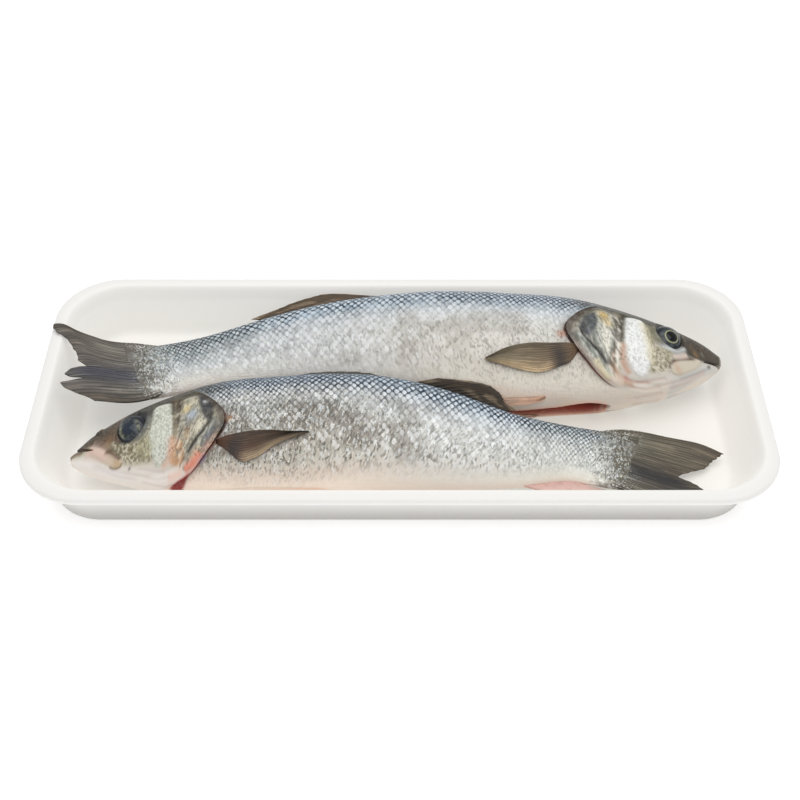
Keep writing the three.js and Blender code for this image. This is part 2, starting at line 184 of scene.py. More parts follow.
def tube_piece(name, rings, uv=None, numbers=None, paint=None, flat=False):
    """A closed mesh from rings, a grid of points in millimetres, with both ends closed. It can carry a
    pattern map (uv), named numbers and a paint colour, all given on the same grid."""
    count = rings.shape[1]
    quads, triangles = ring_faces(rings.shape[0], count, flat)
    points = rings.reshape(-1, 3)
    if not flat:
        points = np.concatenate([points, rings[0].mean(0)[None], rings[-1].mean(0)[None]])
    halves = np.concatenate([quads[:, [0, 1, 2]], quads[:, [0, 2, 3]], triangles])
    if enclosed_volume(points, halves) < 0:
        quads, triangles = quads[:, ::-1], triangles[:, ::-1]
    mesh = bpy.data.meshes.new(name)
    mesh.from_pydata((points * MM).tolist(), [], quads.tolist() + triangles.tolist())
    mesh.polygons.foreach_set("use_smooth", np.ones(len(mesh.polygons), bool))

    def on_vertices(values):
        rows = values.reshape(rings.shape[0] * count, -1)
        if not flat:
            rows = np.concatenate([rows, rows[:count].mean(0)[None], rows[-count:].mean(0)[None]])
        return rows.astype(np.float32)

    if uv is not None:
        corners = np.empty(len(mesh.loops), np.int32)
        mesh.loops.foreach_get("vertex_index", corners)
        layer = mesh.uv_layers.new(name="pattern")
        layer.data.foreach_set("uv", on_vertices(uv)[corners].ravel())
    for key, values in (numbers or {}).items():
        attribute = mesh.attributes.new(key, "FLOAT", "POINT")
        attribute.data.foreach_set("value", on_vertices(values).ravel())
    if paint is not None:
        colour = mesh.color_attributes.new("paint", "FLOAT_COLOR", "POINT")
        rgba = np.concatenate([on_vertices(paint), np.ones((len(points), 1), np.float32)], 1)
        colour.data.foreach_set("color", rgba.ravel())
    mesh.update()
    piece = bpy.data.objects.new(name, mesh)
    bpy.context.scene.collection.objects.link(piece)
    print(f"{name}: {len(halves)} triangles")
    return piece


def finished(piece, material, slot, *nodes):
    """Gives a piece its finish, lets it ride on the one body, and hides the solids it stands for."""
    piece.data.materials.append(material)
    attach(piece, "root")
    if nodes:
        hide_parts(*nodes)
    return piece


# %% [markdown]
# ## A short way to write finishes
#
# Shader maths is easier to read as a sum than as boxes and wires. `Reading` wraps one socket, and plus, minus
# and times on it add the Math nodes. `Finish` holds one material, and its `node` method makes any other node
# from its type, its settings and the values or links of its sockets.

# %% Finish writer


class Reading:
    """One socket of a finish, with plain arithmetic on it."""

    def __init__(self, finish, socket):
        self.finish, self.socket = finish, socket

    def between(self, a, b):
        """0 below a, 1 above b, soft in between."""
        settings = {"interpolation_type": "SMOOTHSTEP"}
        return self.finish.node("ShaderNodeMapRange", settings, [self, a, b, 0.0, 1.0])


def maths(operation, swapped=False):
    """A method that adds one Math node, with the reading itself first, or last when swapped."""

    def method(self, *others):
        values = [*others, self] if swapped else [self, *others]
        return self.finish.node("ShaderNodeMath", {"operation": operation}, values)

    return method


SIGNS = {
    "__add__": "ADD", "__radd__": "ADD", "__sub__": "SUBTRACT", "__mul__": "MULTIPLY", "__rmul__": "MULTIPLY",
    "__truediv__": "DIVIDE", "__pow__": "POWER", "fract": "FRACT", "floor": "FLOOR", "size": "ABSOLUTE",
    "least": "MINIMUM", "most": "MAXIMUM",
}
for sign, operation in SIGNS.items():
    setattr(Reading, sign, maths(operation))
Reading.__rsub__ = maths("SUBTRACT", swapped=True)


def tint(red, green, blue):
    """A display colour (0 to 255) as linear light: each share raised to 2.2."""
    return tuple((v / 255) ** 2.2 for v in (red, green, blue))


class Finish:
    """One material, written from its surface back to its patterns."""

    def __init__(self, name):
        self.material = bpy.data.materials.new(name)
        self.material.use_nodes = True
        self.tree = self.material.node_tree
        self.surface = self.tree.nodes["Principled BSDF"]

    def node(self, kind, settings=None, values=(), output=0):
        """A node of this kind: its settings come first, then its sockets. Gives one of its outputs."""
        made = self.tree.nodes.new(kind)
        for key, value in (settings or {}).items():
            setattr(made, key, value)
        self.fill(made, values)
        return Reading(self, made.outputs[output])

    def fill(self, made, values):
        """Sets or links sockets, given in order or by name."""
        pairs = values.items() if isinstance(values, dict) else enumerate(values)
        for key, value in pairs:
            socket = made.inputs[key]
            if isinstance(value, Reading):
                self.tree.links.new(value.socket, socket)
            else:
                socket.default_value = (*value, 1.0) if socket.type == "RGBA" else value

    def set(self, **values):
        """Sets or links sockets of the surface, with _ for each space in a name."""
        self.fill(self.surface, {key.replace("_", " "): value for key, value in values.items()})

    def number(self, name, output="Fac"):
        """A number stored on the vertices, or with output "Color" a stored colour."""
        return self.node("ShaderNodeAttribute", {"attribute_name": name}, output=output)

    def parts(self, vector, count=3):
        """The first few of the three numbers of a vector or a colour."""
        return [self.node("ShaderNodeSeparateXYZ", values=[vector], output=k) for k in range(count)]

    def pattern_place(self):
        """The two numbers of the piece's own pattern map."""
        return self.parts(self.node("ShaderNodeUVMap", {"uv_map": "pattern"}), 2)

    def body_place(self):
        """Where a point is on its piece, in metres."""
        return self.node("ShaderNodeTexCoord", output="Object")

    def cloud(self, place, size, detail=2.0, rough=0.5):
        """Noise whose patches are about size millimetres across."""
        values = {"Vector": place, "Scale": 1 / (size * MM), "Detail": detail, "Roughness": rough}
        return self.node("ShaderNodeTexNoise", values=values)

    def blend(self, amount, first, second, way="MIX"):
        """first where amount is 0, second where it is 1. The numbers are the Mix node's colour sockets."""
        values = {0: amount, 6: first, 7: second}
        return self.node("ShaderNodeMix", {"data_type": "RGBA", "blend_type": way}, values, output=2)

    def shaded(self, colour, factor):
        """A colour multiplied by another, channel by channel."""
        return self.blend(1.0, colour, factor, "MULTIPLY")

    def bump(self, height, depth, strength=1.0):
        """Tilts the shading as if the surface rose by depth millimetres where height is 1."""
        values = {"Height": height, "Distance": depth * MM, "Strength": strength}
        self.set(Normal=self.node("ShaderNodeBump", values=values))


# %% [markdown]
# ## Camera, floor and light
#
# The tray is looked at from in front and 45 degrees above with a slightly long lens, on a pale floor that
# runs far beyond the view. Food on white is usually lit by a wide soft box overhead, with white all around.
# Here one large area light hangs overhead and an even white sky fills the rest, so every shadow lies straight
# beneath its fish and no shadow has a hard edge. The floor glows a little, as a lit white table does, so that
# it stays pale right up to the foot of the tray.

# %% Camera, floor and lights
scene = bpy.context.scene
scene.view_settings.view_transform = "Standard"


def aimed(thing, place, target):
    """Turns a camera or lamp at place so that its -Z axis points at the target."""
    direction = np.array(target) - np.array(place)
    thing.location = place
    thing.rotation_euler = Vector(direction).to_track_quat("-Z", "Y").to_euler()


AIM = np.array([0.0002, -0.01226, 0.027])
DISTANCE = 0.6536
LENS = 61.49
FILM = 36
camera = bpy.data.objects.new("camera", bpy.data.cameras.new("camera"))
camera.data.sensor_width = FILM
camera.data.lens = LENS
aimed(camera, tuple(AIM + DISTANCE * np.array([0, -1, 1]) / np.sqrt(2)), tuple(AIM))
scene.collection.objects.link(camera)
scene.camera = camera

BOX_SIZE = 1.4
BOX_POWER = 9.2
lamp = bpy.data.lights.new("overhead box", "AREA")
lamp.shape, lamp.size, lamp.energy = "SQUARE", BOX_SIZE, BOX_POWER
box = bpy.data.objects.new("overhead box", lamp)
aimed(box, (0.05, 0.06, 1.2), (0, 0, 0))
scene.collection.objects.link(box)

SKY = 0.56
world = bpy.data.worlds.new("white room")
scene.world = world
world.use_nodes = True
sky = world.node_tree.nodes["Background"].inputs
sky["Color"].default_value, sky["Strength"].default_value = (1, 1, 1, 1), SKY

FAR = 4
floor_mesh = bpy.data.meshes.new("floor")
floor_mesh.from_pydata([(-FAR, -FAR, 0), (FAR, -FAR, 0), (FAR, FAR, 0), (-FAR, FAR, 0)], [], [(0, 1, 2, 3)])
floor = bpy.data.objects.new("floor", floor_mesh)
scene.collection.objects.link(floor)
paper = Finish("white paper")
WHITE = (1.0, 1.0, 1.0)
paper.set(Base_Color=(0.8, 0.8, 0.8), Roughness=0.9, Emission_Color=WHITE, Emission_Strength=0.5)
floor_mesh.materials.append(paper.material)
print("camera looks at", AIM, "from", round(DISTANCE, 3), "m")

# %% [markdown]
# ## The tray
#
# The tray is foam sheet pressed in a warm mould, so every edge is a soft fillet: a flat floor, a wall that
# leans out, a rolled flange and a skirt that runs back down to a foot. Modelling it as a box with bevels
# would lose the slow change of the corner radius, so the section is carried round a rounded rectangle
# instead. The section is made of short straight runs and quadratic curves (1-t)^2 a + 2t(1-t) b + t^2 c.

# %% Tray section and outline
TRAY = {"length": 350.0, "width": 154.0, "height": 28.5, "corner": 31.0, "floor": 3.0, "rim": 9.0}
GAP = 0.3
MIDDLE = 60  # inset at which the section ends, so that the floor is closed by one flat patch
FLANGE = 4
CORNER_STEPS, LONG_STEPS, SHORT_STEPS = 20, 34, 14


def run(a, c, steps):
    """A straight line from a to c, without a itself."""
    t = np.linspace(0, 1, steps + 1)[1:, None]
    return (1 - t) * np.array(a) + t * np.array(c)


def bend(a, b, c, steps):
    """A quadratic curve from a to c that leaves towards b."""
    t = np.linspace(0, 1, steps + 1)[1:, None]
    a, b, c = map(np.array, (a, b, c))
    return (1 - t) ** 2 * a + 2 * t * (1 - t) * b + t**2 * c


def tray_section():
    """Rows of (inset from the rim's outline, height): floor, inner wall, flange, skirt and foot."""
    height, bed, rim = TRAY["height"], TRAY["floor"], TRAY["rim"]
    under = height - FLANGE
    toe, wall_foot, wall_top = (rim + 10.5, bed), (rim + 5.2, bed + 5.5), (rim, height - 7)
    inner_lip, outer_lip, brim = (rim - 3.4, height), (3, height), (0, height - 2)
    hem, skirt_top = (rim - 5.6, under), (rim - 2.4, under - 2.5)
    skirt_foot, foot = (rim + 2.1, bed + 0.5), (rim + 6, 0)
    return np.concatenate([
        [(MIDDLE, bed)],
        run((MIDDLE, bed), toe, 8),
        bend(toe, (rim + 6.6, bed), wall_foot, 12),
        run(wall_foot, wall_top, 10),
        bend(wall_top, (rim - 1.2, height), inner_lip, 16),
        run(inner_lip, outer_lip, 2),
        bend(outer_lip, (0, height), brim, 8),
        bend(brim, (0, under), (2, under), 5),
        run((2, under), hem, 2),
        bend(hem, (rim - 2.8, under), skirt_top, 5),
        run(skirt_top, skirt_foot, 10),
        bend(skirt_foot, (rim + 2.5, 0), foot, 8),
        run(foot, (MIDDLE, 0), 6),
    ])


def tray_rings(section):
    """Rings round the tray: at inset i each corner is an arc of radius corner - 0.55 i, and the sides are
    cut into even steps so that the shading stays calm. Half a ring is worked out and turned for the rest."""
    inset, z = section[:, 0:1], section[:, 1:2]
    radius = np.maximum(TRAY["corner"] - 0.55 * inset, 2)
    x, y = TRAY["length"] / 2 - inset, TRAY["width"] / 2 - inset
    turn = np.linspace(0, np.pi / 2, CORNER_STEPS)[None]
    arc_x, arc_y = x - radius + radius * np.cos(turn), y - radius + radius * np.sin(turn)
    along = np.linspace(1, -1, LONG_STEPS)[None, 1:-1]
    across = np.linspace(1, -1, SHORT_STEPS)[None, 1:-1]
    half_x = np.concatenate([arc_x, arc_x[:, -1:] * along, -arc_x[:, ::-1], -(arc_x[:, :1] + 0 * across)], 1)
    half_y = np.concatenate([arc_y, arc_y[:, -1:] + 0 * along, arc_y[:, ::-1], arc_y[:, :1] * across], 1)
    px, py = np.concatenate([half_x, -half_x], 1), np.concatenate([half_y, -half_y], 1)
    return np.stack([px, py, z + 0 * px], -1)


section = tray_section()
shell = tray_rings(section)
turned = np.arange(len(section)) > np.argmin(section[:, 0])
inside = np.where(turned, 0, ramp(2.5, 6.5, section[:, 0]))
# The skirt number grows down the outer skirt and sets its painted shade, darker towards the foot.
skirt = turned * ramp(0, TRAY["height"] - 3, TRAY["height"] - 3 - section[:, 1])
tray_numbers = {"inside": inside[:, None] + 0 * shell[..., 0], "skirt": skirt[:, None] + 0 * shell[..., 0]}
tray = tube_piece("foam_tray", shell, numbers=tray_numbers)

# %% [markdown]
# Foam is white because of its bubbles. Close up its pressed skin shows a faint grain and a soft sheen, and it
# is a little warmer in the thin floor than at the rim. Broad patches of noise vary the warmth, a grain of
# about 2 mm speckles the colour, and a finer one joins it in the bump. Light also leaks through foam sheet,
# so its shadows are never deep, least of all in the hollow, which is lit from all sides. Scattering inside
# the foam would be slow to render, so a faint painted glow stands in for it, stronger in the hollow, where
# the colour is made darker so that the glow flattens the shading there. The outer skirt is painted darker
# towards its foot: painted shade under the flange.

# %% Foam finish
foam = Finish("pressed white foam")
place = foam.body_place()
grain = foam.cloud(place, 2.2, 3)
patches = foam.cloud(place, 45, 2)
height = foam.parts(place)[2]
warmth = (1 - (height / (TRAY["height"] * MM)).between(0.0, 0.9)) * 0.6 + patches * 0.3
foam_colour = foam.blend(warmth, tint(241, 240, 238), tint(240, 237, 231))
foam_colour = foam.blend(grain.between(0.55, 0.8) * 0.12, foam_colour, tint(224, 222, 218))
deep, under = foam.number("inside"), foam.number("skirt")
# Painted shade: the skirt darkens towards its foot, and the hollow gets a darker colour under its glow.
darker = foam.blend(under, foam.blend(deep, (0.94, 0.94, 0.935), (0.6, 0.595, 0.585)), (0.48, 0.47, 0.46))
# Painted glow in place of light scattered through the foam: faint everywhere, strongest in the hollow.
painted_glow = foam.blend(deep, (0.06, 0.06, 0.06), (0.39, 0.383, 0.366))
foam.set(Base_Color=foam.shaded(foam_colour, darker), Roughness=0.42 + grain * 0.12)
foam.set(Emission_Color=painted_glow, Emission_Strength=1.0)
foam.bump(grain * 0.6 + foam.cloud(place, 0.9, 2) * 0.4, 0.05)
finished(tray, foam.material, "tray", "tray")

# %% [markdown]
# ## The build of a sea bass
#
# Both fish share one build, given as shares of the length from the snout to the tail root: how far the back,
# the belly and the flank stand from a line through the middle. Each fish has its own line, because soft fish
# bend as they lie, and its own roll, because the spine side rests a little higher. The cross-section is a
# superellipse: cos and sin with their sizes raised to 2 / 2.15.

# %% Build and pose of the two fish
SECTION_POWER = 2.15
JAW_LENGTH = 0.07
STATION = [0, 0.03, 0.08, 0.16, 0.26, 0.38, 0.52, 0.66, 0.8, 0.92, 1]
BACK = [0.011, 0.031, 0.056, 0.086, 0.1165, 0.122, 0.117, 0.1, 0.071, 0.059, 0.062]
BELLY = [0.017, 0.043, 0.071, 0.098, 0.118, 0.136, 0.125, 0.108, 0.085, 0.065, 0.068]
BREADTH = [0.011, 0.027, 0.043, 0.062, 0.071, 0.073, 0.069, 0.052, 0.033, 0.02, 0.012]
REAR = {
    "name": "rear_fish",
    "length": 285.0,
    "deep": 0.945,
    "axis": [[0, 159, 21, 20], [0.15, 120, 22, 21.5], [0.32, 70, 25.5, 22.5], [0.56, 0, 30.5, 22.5],
             [0.78, -62, 31.5, 19.5], [0.9, -98, 23.5, 17.5], [1, -126, 16, 18]],
    "roll": [[0, 6], [0.2, 8], [0.5, 8], [0.8, 6], [1, 3]],
    "underbite": 0.0,
    "mouth": {"gape": 0.35, "depth": 10.0, "height": -4.0, "drop": 0.25, "press": 0.75},
    "eye": (0.103, 77),
    "lift": 12.0,
    "pectoral": {"root": 0.262, "tip": 0.414, "lift": 1.2,
                 "over": [[0, 104], [0.3, 105.5], [0.55, 106.5], [0.8, 112], [1, 121.5]],
                 "under": [[0, 112], [0.1, 124], [0.18, 127], [0.37, 132.5], [0.6, 130], [0.82, 125.5],
                           [1, 122.5]]},
    "second_dorsal": {"from": 0.55, "ray": 0.1, "fold": 76, "lean": 10,
                      "rays": [0.45, 0.84, 0.75, 0.56, 0.42]},
    "tail_edge": [[0, 43.5, 34], [0.08, 41, 30], [0.18, 38, 24], [0.3, 34, 14], [0.44, 31, 2.5],
                  [0.5, 29, -1], [0.54, 33, -1], [0.6, 37, -1.3], [0.66, 39.6, -4.2], [0.71, 37.5, -6.3],
                  [0.75, 32, -7.6], [0.79, 38.5, -7.9], [0.84, 42, -8.3], [0.9, 38.6, -14.5], [1, 28, -25]],
    "tail_upper": [[-12, 15.5], [0, 20.8], [20, 21.4], [30, 26.4], [36, 32.6], [43.5, 34]],
    "tail_lower": [[-12, -14], [0, -19.5], [14, -23.9], [28, -25]],
}
FRONT = {
    "name": "front_fish",
    "length": 258.0,
    "deep": 1.0,
    "axis": [[0, -151, -41.5, 18], [0.15, -113, -35.5, 20], [0.32, -70, -33.5, 22], [0.56, -7, -30, 23],
             [0.78, 50, -34.5, 18], [0.9, 79, -34.5, 14], [1, 104, -38.5, 13]],
    "roll": [[0, 12], [0.2, 12], [0.5, 12], [0.8, 8], [1, 4]],
    "underbite": 2.4,
    "mouth": {"gape": 1.1, "depth": 10.0, "height": 2.0, "drop": 0.48, "press": 0.4},
    "eye": (0.107, 78),
    "lift": -6.0,
    "pectoral": {"root": 0.268, "tip": 0.43, "lift": 1.2,
                 "over": [[0, 107], [0.12, 104.5], [0.3, 101.5], [0.55, 101], [0.8, 103], [1, 104.5]],
                 "under": [[0, 111], [0.12, 117], [0.25, 127], [0.4, 124], [0.6, 114], [0.8, 108],
                           [1, 105.5]]},
    "second_dorsal": {"from": 0.575, "to": 0.755, "ray": 0.108, "fold": 76, "lean": 56,
                      "rays": [0.7, 1, 0.85, 0.52, 0.34]},
    "tail_edge": [[0, 49.5, 17], [0.15, 45, 13], [0.3, 40.5, 7], [0.4, 33.5, 3], [0.5, 28.5, -1.5],
                  [0.6, 34.5, -3.5], [0.75, 42, -7.5], [0.9, 43, -13], [1, 39, -17]],
    "tail_upper": [[-14, 15.0], [-6, 18.4], [0, 20], [18, 22.5], [38, 22], [49.5, 17]],
    "tail_lower": [[-12, -13], [0, -17.5], [20, -20], [39, -17]],
}
CEILING = cad_high[2] / MM - 0.02  # the solids' highest point, in millimetres


def dot(a, b):
    """The dot products of rows of vectors, kept as a column."""
    return (a * b).sum(-1, keepdims=True)


def axis_frame(fish, u):
    """Centre line, and the directions to the tail, to the back and to the upper side, at stations u. The
    back direction is (0, cos roll, sin roll) made square to the line. The side is tailward x back, or its
    opposite where that would point down."""
    u = np.asarray(u, float)

    def at(v):
        return np.stack([column(fish["axis"], v, k) for k in (1, 2, 3)], -1)

    tailward = unit(at(np.minimum(u + 0.01, 1)) - at(np.maximum(u - 0.01, 0)))
    roll = np.radians(column(fish["roll"], u, 1))
    back = np.stack([0 * roll, np.cos(roll), np.sin(roll)], -1)
    back = unit(back - dot(back, tailward) * tailward)
    side = np.cross(tailward, back)
    return at(u), tailward, back, np.where(side[..., 2:] < 0, -side, side)


def section_size(fish, u):
    """Back, belly and half-breadth in millimetres."""
    depth = fish["length"] * fish["deep"]
    sizes = smooth(STATION, BACK, u) * depth, smooth(STATION, BELLY, u) * depth
    return *sizes, smooth(STATION, BREADTH, u) * fish["length"]


def rounded(value):
    """A cosine or sine with its size raised to 2 / SECTION_POWER."""
    return np.sign(value) * np.abs(value) ** (2 / SECTION_POWER)


def wall_inset(z):
    """How far the tray's inner wall stands in from the rim's outline at height z."""
    height, bed, rim = TRAY["height"], TRAY["floor"], TRAY["rim"]
    heights = [bed, bed + 2, bed + 5.5, height - 3.5, height]
    return smooth(heights, [rim + 10.5, rim + 7.4, rim + 5.6, rim + 1.9, rim - 1], z)


def rested(points, margin=GAP):
    """Soft skin flattens where it lies: z stays above the floor and below the solids' highest point, |y|
    inside the side walls and |x| inside the rim."""
    z = np.clip(points[..., 2], TRAY["floor"] + margin, CEILING)
    wall = TRAY["width"] / 2 - wall_inset(z) - margin
    end = TRAY["length"] / 2 - margin
    return np.stack([np.clip(points[..., 0], -end, end), np.clip(points[..., 1], -wall, wall), z], -1)


def flank_point(fish, u, angle, raised=0.0):
    """The skin at station u and an angle (0 back, 90 upper flank, 180 belly, 270 lower flank):
    centre + back B |cos|^p + side W |sin|^p, plus raised along (cos, sin), less the jut of the lower jaw."""
    u, angle = np.broadcast_arrays(np.asarray(u, float), np.asarray(angle, float))
    centre, tailward, back, side = axis_frame(fish, u)
    over, under, half = section_size(fish, u)
    c, s = np.cos(np.radians(angle)), np.sin(np.radians(angle))
    height = np.where(c > 0, over, under) * rounded(c) + raised * c
    width = half * rounded(s) + raised * s
    jut = fish["underbite"] * (1 - ramp(-0.3, 0.3, c)) * (1 - ramp(0, JAW_LENGTH, u))
    return centre + back * height[..., None] + side * width[..., None] - tailward * jut[..., None]


for fish in (REAR, FRONT):
    over, under, half = section_size(fish, 0.38)
    print(f"{fish['name']} is {over + under:.1f} mm deep and {2 * half:.1f} mm thick at its deepest")

# %% [markdown]
# ## A map of the skin
#
# Features such as the cheek or the gill cover are easiest to place by station and angle, but their shapes
# must keep their size in millimetres. So each fish gets a map: `q` runs from the snout to the tail, and `h`
# runs round the body from the middle of the back, both in millimetres. Both flanks share the map, mirrored at
# the back and at the belly, so the hidden side is finished exactly as the side that shows.

# %% Skin map
MAP_U = np.linspace(0, 1, 201)
MAP_T = np.linspace(0, 180, 181)
FADE = 0.12  # share of a stroke over which each of its ends fades


def girth_table(fish):
    """h at each map station and angle: the running length of the section's outline."""
    u, t = np.meshgrid(MAP_U, MAP_T, indexing="ij")
    over, under, half = section_size(fish, u)
    c, s = np.cos(np.radians(t)), np.sin(np.radians(t))
    across, up = half * rounded(s), np.where(c > 0, over, under) * rounded(c)
    steps = np.hypot(np.diff(across, axis=1), np.diff(up, axis=1))
    return np.concatenate([np.zeros((len(MAP_U), 1)), np.cumsum(steps, 1)], 1)


def read_table(table, u, t):
    """Bilinear reading of a table over MAP_U and MAP_T."""
    i = np.clip(u, 0, 1) * (len(MAP_U) - 1)
    j = np.clip(t, 0, 180) * (len(MAP_T) - 1) / 180
    i0, j0 = np.minimum(i.astype(int), len(MAP_U) - 2), np.minimum(j.astype(int), len(MAP_T) - 2)
    f, g = i - i0, j - j0
    near = table[i0, j0] * (1 - g) + table[i0, j0 + 1] * g
    far = table[i0 + 1, j0] * (1 - g) + table[i0 + 1, j0 + 1] * g
    return near * (1 - f) + far * f


for fish in (REAR, FRONT):
    fish["girth"] = girth_table(fish)
    print(fish["name"], "half girth at mid body:", round(float(fish["girth"][90, -1]), 1), "mm")


def on_map(fish, places):
    """(station, angle) pairs as rows of (q, h). A fish's turn shifts the angles, as its head can roll."""
    u, t = np.array(places, float).T
    return np.stack([u * fish["length"], read_table(fish["girth"], u, t + fish.get("turn", 0))], -1)


def soft_line(fish, places, closed=False):
    """A smooth line on the map through the places, back to the first if closed, with six points a place."""
    rows = on_map(fish, [*places, places[0]] if closed else places)
    share, fine = np.linspace(0, 1, len(rows)), np.linspace(0, 1, 6 * len(places))
    return np.stack([smooth(share, rows[:, k], fine) for k in (0, 1)], -1)


def nearest(q, h, line):
    """For each skin point: its distance to the line, and the share along the line of the nearest point."""
    best, share = np.full(q.shape, 1e9), np.zeros(q.shape)
    for k in range(len(line) - 1):
        a, d = line[k], line[k + 1] - line[k]
        x, y = q - a[0], h - a[1]
        f = np.clip((x * d[0] + y * d[1]) / (d @ d), 0, 1)
        away = np.hypot(x - f * d[0], y - f * d[1])
        closer = away < best
        best = np.where(closer, away, best)
        share = np.where(closer, (k + f) / (len(line) - 1), share)
    return best, share


def stroke(fish, q, h, places, width):
    """A soft brush line through the places, width in millimetres, fading at both ends."""
    away, share = nearest(q, h, soft_line(fish, places))
    return bell(0, width, away) * ramp(0, FADE, share) * (1 - ramp(1 - FADE, 1, share))


def patch(fish, q, h, places, soft):
    """1 inside the closed outline through the places, 0 outside, with an edge soft millimetres wide."""
    line = soft_line(fish, places, closed=True)
    away, _ = nearest(q, h, line)
    inside = np.zeros(q.shape, bool)
    for (ax, ay), (bx, by) in zip(line[:-1], line[1:]):
        crosses = (ay > h) != (by > h)
        at = ax + (bx - ax) * (h - ay) / np.where(by == ay, 1e-9, by - ay)
        inside ^= crosses & (q < at)
    return ramp(-soft / 2, soft / 2, np.where(inside, away, -away))


# %% [markdown]
# ## Rings of the body
#
# The body is one closed surface of about four hundred rings. The rings on the head lean so that one of them
# follows the free edge of the gill cover. Just there twelve extra rings roll over the edge, run forward under
# the cover and come back out as the shoulder, so the cover is a real flap with a dark gap below it. Behind
# the tail root a few more rings flatten the flesh onto the tail fin.

# %% Ring plan
EDGE_ANGLE = [0, 40, 60, 75, 90, 105, 120, 135, 150, 165, 180]
EDGE_STATION = [0.208, 0.214, 0.241, 0.267, 0.281, 0.267, 0.247, 0.227, 0.203, 0.168, 0.15]
COVER_RING = 0.27
LEAN_FADE = 0.33  # how far behind the cover's edge the rings still lean, as a share of the length
# Steps over the edge: along the body in millimetres, and out from the skin in millimetres.
FOLD = np.array([[0.0, 1.45], [0.3, 1.3], [0.5, 0.95], [0.35, 0.55], [-0.3, 0.35], [-1.6, 0.2], [-3.2, -0.2],
                 [-3.8, -0.8], [-3.2, -1.25], [-1.6, -1.15], [0.0, -0.85], [1.4, -0.5]])
HEAD_RINGS, BODY_RINGS, LOBE_RINGS = 168, 206, 14
FOLD_RINGS = slice(HEAD_RINGS, HEAD_RINGS + len(FOLD))
LOBE = 8.0  # how far the flesh runs out over the tail fin, in millimetres


def ring_plan():
    """For each ring: its mesh station s, its step along, its height out, and how far past the tail root."""
    head = COVER_RING * np.linspace(0, 1, HEAD_RINGS) ** 1.12
    first = COVER_RING + 0.0065
    body = first + (1 - first) * np.linspace(0, 1, BODY_RINGS)
    s = np.concatenate([head, np.full(len(FOLD), COVER_RING), body, np.ones(LOBE_RINGS)])
    step, out, past = np.zeros((3, len(s)))
    step[FOLD_RINGS], out[FOLD_RINGS] = FOLD.T
    past[-LOBE_RINGS:] = LOBE * np.arange(1, LOBE_RINGS + 1) / LOBE_RINGS
    return s, step, out, past


def ring_angles():
    """Close steps over the flank that shows, closer ones at the belly cut and wider ones below."""
    spans = [(0, 168, 134), (168, 204, 54), (204, 360, 38)]
    return np.concatenate([np.linspace(start, stop, count, endpoint=False) for start, stop, count in spans])


def leaning(s, folded):
    """u = s + shift hat(s): the shift is the cover edge's station less COVER_RING, and the hat rises from the
    snout to 1 at COVER_RING and falls to 0 a third of the body further back."""
    shift = smooth(EDGE_ANGLE, EDGE_STATION, folded) - COVER_RING
    hat = np.where(s < COVER_RING, s / COVER_RING, np.maximum(0, 1 - (s - COVER_RING) / LEAN_FADE))
    return s + shift * hat


S_PLAN, STEP_PLAN, OUT_PLAN, PAST_PLAN = ring_plan()
ANGLES = ring_angles()
print(len(S_PLAN), "rings of", len(ANGLES), "points")

# %% [markdown]
# ## Head features in relief
#
# The bones of the head lie close under the skin and show as plates, grooves and ridges. Sculpting them by
# hand would be hard to repeat, so each one is a patch or a stroke on the skin map, given by a few places of
# station and angle. A patch raises the skin a little, a stroke cuts a groove, and both flanks get them.

# %% Places of the head features
REAR["turn"], FRONT["turn"] = 0, -4
REAR["throat"], FRONT["throat"] = (140, 156), (152, 172)
CHEEK = [(0.184, 65), (0.168, 61), (0.153, 64), (0.149, 84), (0.142, 104), (0.143, 120), (0.152, 139),
         (0.168, 135), (0.179, 122), (0.186, 106), (0.188, 90)]
GROOVE = [(0.186, 56), (0.192, 68), (0.195, 90), (0.2, 108), (0.203, 122), (0.196, 136), (0.178, 145),
          (0.15, 152), (0.12, 155)]
OPERCLE = [(0.205, 66), (0.222, 64), (0.24, 70), (0.25, 82), (0.243, 96), (0.23, 106), (0.217, 120),
           (0.21, 122), (0.206, 104), (0.202, 84)]
SUBOPERCLE = [(0.262, 92), (0.272, 97), (0.258, 112), (0.236, 128), (0.214, 142), (0.205, 138), (0.216, 126),
              (0.236, 108)]
PLATE_LINE = [(0.25, 84), (0.258, 92), (0.246, 101), (0.233, 109), (0.222, 118), (0.213, 128)]
NAPE_LINE = [(0.196, 60), (0.215, 56), (0.238, 60), (0.258, 70), (0.272, 80), (0.28, 88)]
REAR["maxilla"] = [(0.045, 117), (0.056, 113), (0.078, 114), (0.098, 117), (0.106, 122), (0.108, 130),
                   (0.094, 140), (0.074, 139), (0.056, 134), (0.045, 125)]
REAR["maxilla_top"] = [(0.05, 113), (0.078, 114), (0.098, 117), (0.107, 124), (0.106, 132)]
FRONT["maxilla"] = [(0.03, 97), (0.048, 103), (0.06, 113), (0.072, 115), (0.08, 126), (0.086, 131),
                    (0.08, 140), (0.068, 144), (0.058, 137), (0.048, 125), (0.036, 112)]
FRONT["maxilla_top"] = [(0.056, 112), (0.066, 114), (0.076, 122), (0.083, 129)]
CHEEK_BONE = [(0.068, 101), (0.085, 105), (0.104, 109), (0.122, 112)]
UNDER_EYE = [(0.07, 95), (0.085, 103), (0.105, 106), (0.125, 102), (0.138, 92)]
JAW_LINES = [[(0.03, 142), (0.06, 150), (0.1, 155), (0.14, 158)], [(0.03, 152), (0.07, 163), (0.11, 167)],
             [(0.11, 145), (0.14, 147), (0.17, 150)]]
THROAT_LINES = [[(0.115, 170), (0.135, 172), (0.16, 173), (0.185, 175)],
                [(0.12, 160), (0.15, 160), (0.18, 153)]]


